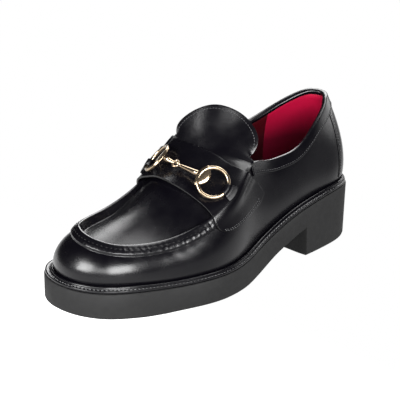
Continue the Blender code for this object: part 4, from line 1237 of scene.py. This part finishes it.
# %% Places of the bit
RING_RADIUS, RING_WIRE = 10.9, 1.35
RUNNING_GAP = 0.3
BIT_CENTRE = np.array([161.4, -1.6, 85.7])
BIT = {
    # side: ring centre, ring normal, point that the loop heads for
    "lateral": ((156.5, 29.8, 79.2), (0.53, 0.58, 0.62), (148.4, 43.9, 71.6)),
    "medial": ((160.2, -23.8, 84.0), (0.515, -0.51, 0.69), (160.6, -37.8, 72.7)),
}


def bit_frame(side):
    """Ring centre and the ring's own axes: along its axis, towards the bit's centre, and towards its loop."""
    centre, normal, loop_to = (np.array(value) for value in BIT[side])
    axis = unit(normal)
    inwards = BIT_CENTRE - centre
    inwards = unit(inwards - axis * inwards.dot(axis))
    to_loop = loop_to - centre
    to_loop = unit(to_loop - axis * to_loop.dot(axis))
    return centre, axis, inwards, to_loop


def torus(centre, axis, start, radius, wire, sides, wire_sides):
    """Points and faces of a plain ring."""
    across = np.cross(axis, start)
    angle = np.linspace(0, 2 * math.pi, sides, endpoint=False)[:, None, None]
    turn = np.linspace(0, 2 * math.pi, wire_sides, endpoint=False)[None, :, None]
    outward = np.cos(angle) * start + np.sin(angle) * across
    points = centre + (radius + wire * np.cos(turn)) * outward + wire * np.sin(turn) * axis
    points = np.concatenate([points, points[:1]]).reshape(-1, 3)
    return points, grid_faces(sides + 1, wire_sides, closed=True)


between = np.subtract(BIT["lateral"][0], BIT["medial"][0])
print("between the centres of the rings, mm:", round(float(np.linalg.norm(between)), 1))


# %% Make the rings
for side in BIT:
    centre, axis, inwards, _ = bit_frame(side)
    ring_points, ring_faces = torus(centre, axis, inwards, RING_RADIUS, RING_WIRE, 120, 24)
    stands_for = ("bit_ring_" + side,)
    add_piece("gilt_ring_" + side, ring_points, ring_faces, gilt, stands_for, "ring_" + side)

# %% [markdown]
# ## Bars
# Each half of the bar is a turned rod with an eye at the centre and a leaf-shaped barrel at the ring. The
# leaf is thinner than the ring's wire, so the ring shows in front of it. It could be cast as one mesh,
# but three closed bodies that meet are simpler to draw and look the same.

# %% Barrel and rod
BARREL_HALF, BARREL_DEEP = 8.6, 1.2
BARREL_INNER, BARREL_OUTER = 3.4, 12.9
BARREL_ROWS, BARREL_SIDES = 33, 24


def barrel(side):
    """The leaf that the ring runs through: its outer edge follows the ring and its inner edge bows in."""
    centre, axis, inwards, _ = bit_frame(side)
    tangent = np.cross(axis, inwards)
    x = np.linspace(-1, 1, BARREL_ROWS)[:, None, None]
    turn = np.linspace(0, 2 * math.pi, BARREL_SIDES, endpoint=False)[None, :, None]
    outer = np.sqrt(BARREL_OUTER**2 - (BARREL_HALF * x) ** 2)
    tip = math.sqrt(BARREL_OUTER**2 - BARREL_HALF**2)
    inner = BARREL_INNER + (tip - 0.5 - BARREL_INNER) * np.abs(x) ** 2.0
    middle, half = 0.5 * (outer + inner), 0.5 * (outer - inner)
    deep = BARREL_DEEP * np.sqrt(1 - 0.9 * x**2)
    reach = middle + half * np.cos(turn)
    points = centre + BARREL_HALF * x * tangent + reach * inwards + deep * np.sin(turn) * axis
    return points.reshape(-1, 3), tube_faces(BARREL_ROWS, BARREL_SIDES)


def turned_rod(start, run, profile, sides=20):
    """A turned rod: profile rows are the distance along it and the radius there."""
    across = unit(np.cross(run, [0.0, 0.0, 1.0]))
    over = np.cross(run, across)
    turn = np.linspace(0, 2 * math.pi, sides, endpoint=False)[None, :, None]
    rows = np.asarray(profile)
    spine = start + rows[:, 0, None, None] * run
    points = spine + rows[:, 1, None, None] * (np.cos(turn) * across + np.sin(turn) * over)
    return points.reshape(-1, 3), tube_faces(len(rows), sides)


# %% Make the bars
BAR_THICK, BAR_THIN = 2.1, 1.3
EYE_RADIUS, EYE_WIRE = 2.3, 0.8
BARREL_INSET = 1.7


def make_bar(side):
    centre, axis, inwards, _ = bit_frame(side)
    start = centre + (RING_RADIUS - BARREL_INSET) * inwards
    run = unit(BIT_CENTRE - start)
    length = np.linalg.norm(BIT_CENTRE - start) - EYE_RADIUS
    begin = BARREL_INSET + RING_WIRE + RUNNING_GAP + 0.3
    profile = (
        (begin, 1.6), (begin + 0.2, BAR_THICK), (0.3 * length, BAR_THICK),
        (0.6 * length, 0.5 * (BAR_THICK + BAR_THIN)), (0.85 * length, BAR_THIN),
        (length - 0.3, BAR_THIN), (length + 0.1, 0.9),
    )
    eye_axis = unit(np.cross(run, axis)) if side == "lateral" else unit(np.cross(run, np.cross(run, axis)))
    eye_centre = BIT_CENTRE - run * (EYE_RADIUS - 0.9)
    eye = torus(eye_centre, eye_axis, run, EYE_RADIUS, EYE_WIRE, 40, 14)
    points, faces = joined((barrel(side), turned_rod(start, run, profile), eye))
    add_piece("gilt_bar_" + side, points, faces, gilt, ("bit_bar_" + side,))


for side in BIT:
    make_bar(side)

# %% [markdown]
# ## Loops
# A narrow strap of calf goes round each ring's wire and back on to the saddle. A strip could be bent
# round the wire by a modifier, but then the plies would cut into it. So the profile is drawn flat, as two
# plies that part round the wire, and then turned a little way round the ring's centre.

# %% Make the loops
LOOP_HALF_ANGLE = 20.0
LOOP_THICK = 0.8


def make_loop(side):
    centre, axis, _, to_loop = bit_frame(side)
    target = np.array(BIT[side][2]) - centre
    sink, tail = target.dot(axis), target.dot(to_loop) - RING_RADIUS
    across = np.cross(axis, to_loop)
    inner = RING_WIRE + RUNNING_GAP
    outer = inner + LOOP_THICK
    ply = LOOP_THICK + 0.05
    straight = np.linspace(tail, outer + 0.6, 7)
    profile = [(r, ply) for r in straight]
    profile += [(outer * math.cos(a), outer * math.sin(a)) for a in np.radians(np.linspace(35, 325, 24))]
    profile += [(r, -ply) for r in straight[::-1]]
    profile += [(r, -0.05) for r in np.linspace(tail, inner + 0.9, 7)]
    profile += [(inner * math.cos(a), inner * math.sin(a)) for a in np.radians(np.linspace(325, 35, 24))]
    profile += [(r, 0.05) for r in np.linspace(inner + 0.9, tail, 7)]
    rows = []
    for turn in np.radians(np.linspace(-LOOP_HALF_ANGLE, LOOP_HALF_ANGLE, 15)):
        outward = math.cos(turn) * to_loop + math.sin(turn) * across
        row = []
        for r, height in profile:
            bend = sink * (max(r - outer, 0.0) / (tail - outer)) ** 1.5
            row.append(centre + (RING_RADIUS + r) * outward + (height + bend) * axis)
        rows.append(row)
    points = np.array(rows).reshape(-1, 3)
    faces = tube_faces(len(rows), len(profile))
    add_piece("bit_loop_strap_" + side, points, faces, strap_calf, ("bit_loop_" + side,), bevel=0.2)


for side in BIT:
    make_loop(side)

# %% [markdown]
# ## Floor
# Black shoes are photographed by what they reflect. The floor is a white light table that glows more
# under the toe and fades to grey on the heel's outer side, so that the quarter mirrors white low down and
# stays dark above. A white board under lamps could do this too, but each lamp that moves would change it.
# A table that glows by itself keeps its brightness.

# %% Floor
FLOOR_AT, FLOOR_HALF = -0.0002, 6.0
FADE_WAY = math.radians(221)
FADE_FROM, FADE_TO = 0.15, 0.27
TABLE_BRIGHT, TABLE_DIM = 1.0, 0.38
TOE_FROM, TOE_TO, TOE_BRIGHT = 0.03, 0.14, 2.1


def make_floor():
    half = FLOOR_HALF
    corners = [(x, y, FLOOR_AT) for x, y in ((-half, -half), (half, -half), (half, half), (-half, half))]
    mesh = bpy.data.meshes.new("studio_floor")
    mesh.from_pydata(corners, [], [(0, 1, 2, 3)])
    finish, shader = new_finish("white_light_table", (0.0, 0.0, 0.0), 0.9, shine=0.0)
    shader.inputs["Emission Color"].default_value = (1.0, 1.0, 1.0, 1.0)
    place = own_place(finish)
    fade_way = (math.sin(FADE_WAY), -math.cos(FADE_WAY), 0.0)
    along_fade = add_node(finish, "VectorMath", {1: fade_way}, {0: place})
    along_fade.operation = "DOT_PRODUCT"
    fade = map_range(finish, along_fade.outputs["Value"], (FADE_FROM, FADE_TO), (TABLE_BRIGHT, TABLE_DIM))
    along_shoe = add_node(finish, "SeparateXYZ", sources={"Vector": place})
    towards_toe = map_range(finish, along_shoe.outputs["X"], (TOE_FROM, TOE_TO), (1.0, TOE_BRIGHT))
    for ramp in (fade, towards_toe):
        ramp.interpolation_type = "SMOOTHSTEP"
    glow = add_node(finish, "Math", sources={0: fade.outputs["Result"], 1: towards_toe.outputs["Result"]})
    glow.operation = "MULTIPLY"
    finish.node_tree.links.new(glow.outputs["Value"], shader.inputs["Emission Strength"])
    mesh.materials.append(finish)
    floor = bpy.data.objects.new("studio_floor", mesh)
    bpy.context.scene.collection.objects.link(floor)


make_floor()
print("floor, m:", FLOOR_AT)

# %% [markdown]
# ## Lights
# A back panel and a top panel light the plug and the tongue, and a low panel draws the edge of the heel.
# A toe box and a side box leave two soft patches on the toe, and a weaker front fill lies between them. A
# picture of a studio could light the shoe instead. Here each light is set by its direction and by the
# width that the shoe sees, because that is what shows as a patch in the polish. The rest of the room
# stays dark.

# %% Lights
CAMERA_TARGET = np.array([0.00088, -0.00793, 0.0502])
LIGHTS = (
    # name, azimuth, elevation, distance, spread sideways and upwards in degrees, brightness
    ("back_panel", 308, 40, 2.0, (34, 38), 11.5),
    ("top_panel", 262, 60, 2.0, (34, 20), 9.5),
    ("low_panel", 262, 6, 2.0, (46, 14), 3.5),
    ("toe_box", 79, 24, 1.6, (25, 24), 35.0),
    ("side_box", 157, 24, 1.6, (42, 27), 37.0),
    ("front_fill", 113, 22, 1.6, (40, 16), 12.0),
)


def face_shoe(item, azimuth, elevation, distance):
    """Puts a light or a camera at a direction from the shoe, in degrees, and turns it to the shoe."""
    a, e = math.radians(azimuth), math.radians(elevation)
    way = np.array([math.sin(a) * math.cos(e), -math.cos(a) * math.cos(e), math.sin(e)])
    item.location = CAMERA_TARGET + distance * way
    item.rotation_euler = (math.pi / 2 - e, 0.0, a)
    bpy.context.scene.collection.objects.link(item)


def soft_box(name, azimuth, elevation, distance, spread, brightness):
    """An area light with a spread in degrees, as the shoe sees it, and an even brightness."""
    data = bpy.data.lights.new(name, "AREA")
    data.shape = "RECTANGLE"
    data.size, data.size_y = (2 * distance * math.tan(math.radians(angle / 2)) for angle in spread)
    data.energy = brightness * math.pi * data.size * data.size_y
    face_shoe(bpy.data.objects.new(name, data), azimuth, elevation, distance)


for light in LIGHTS:
    soft_box(*light)
world = bpy.data.worlds.new("dark_studio")
world.use_nodes = True
world.node_tree.nodes["Background"].inputs["Color"].default_value = (0.02, 0.02, 0.02, 1.0)
world.node_tree.nodes["Background"].inputs["Strength"].default_value = 1.0
bpy.context.scene.world = world
bpy.context.scene.view_settings.view_transform = "Standard"
print("lights:", len(bpy.data.lights))

# %% [markdown]
# ## Camera
# The camera looks from the outer front and a little from above. A wide lens close by would swell the toe,
# so a narrow field of view from far away keeps the shoe's lines nearly parallel.

# %% Camera
CAMERA_AZIMUTH, CAMERA_ELEVATION = 136.25, 21.16
CAMERA_DISTANCE = 1.58626
CAMERA_FIELD = 10.36


def make_camera():
    data = bpy.data.cameras.new("photo_camera")
    data.angle = math.radians(CAMERA_FIELD)
    camera = bpy.data.objects.new("photo_camera", data)
    face_shoe(camera, CAMERA_AZIMUTH, CAMERA_ELEVATION, CAMERA_DISTANCE)
    bpy.context.scene.camera = camera


make_camera()
print("camera distance, m:", CAMERA_DISTANCE)

# %% [markdown]
# ## Pieces
# The dressed shoe has to stay the size of its solids. This last cell prints how many finished pieces were
# made.


print("pieces:", len(made))
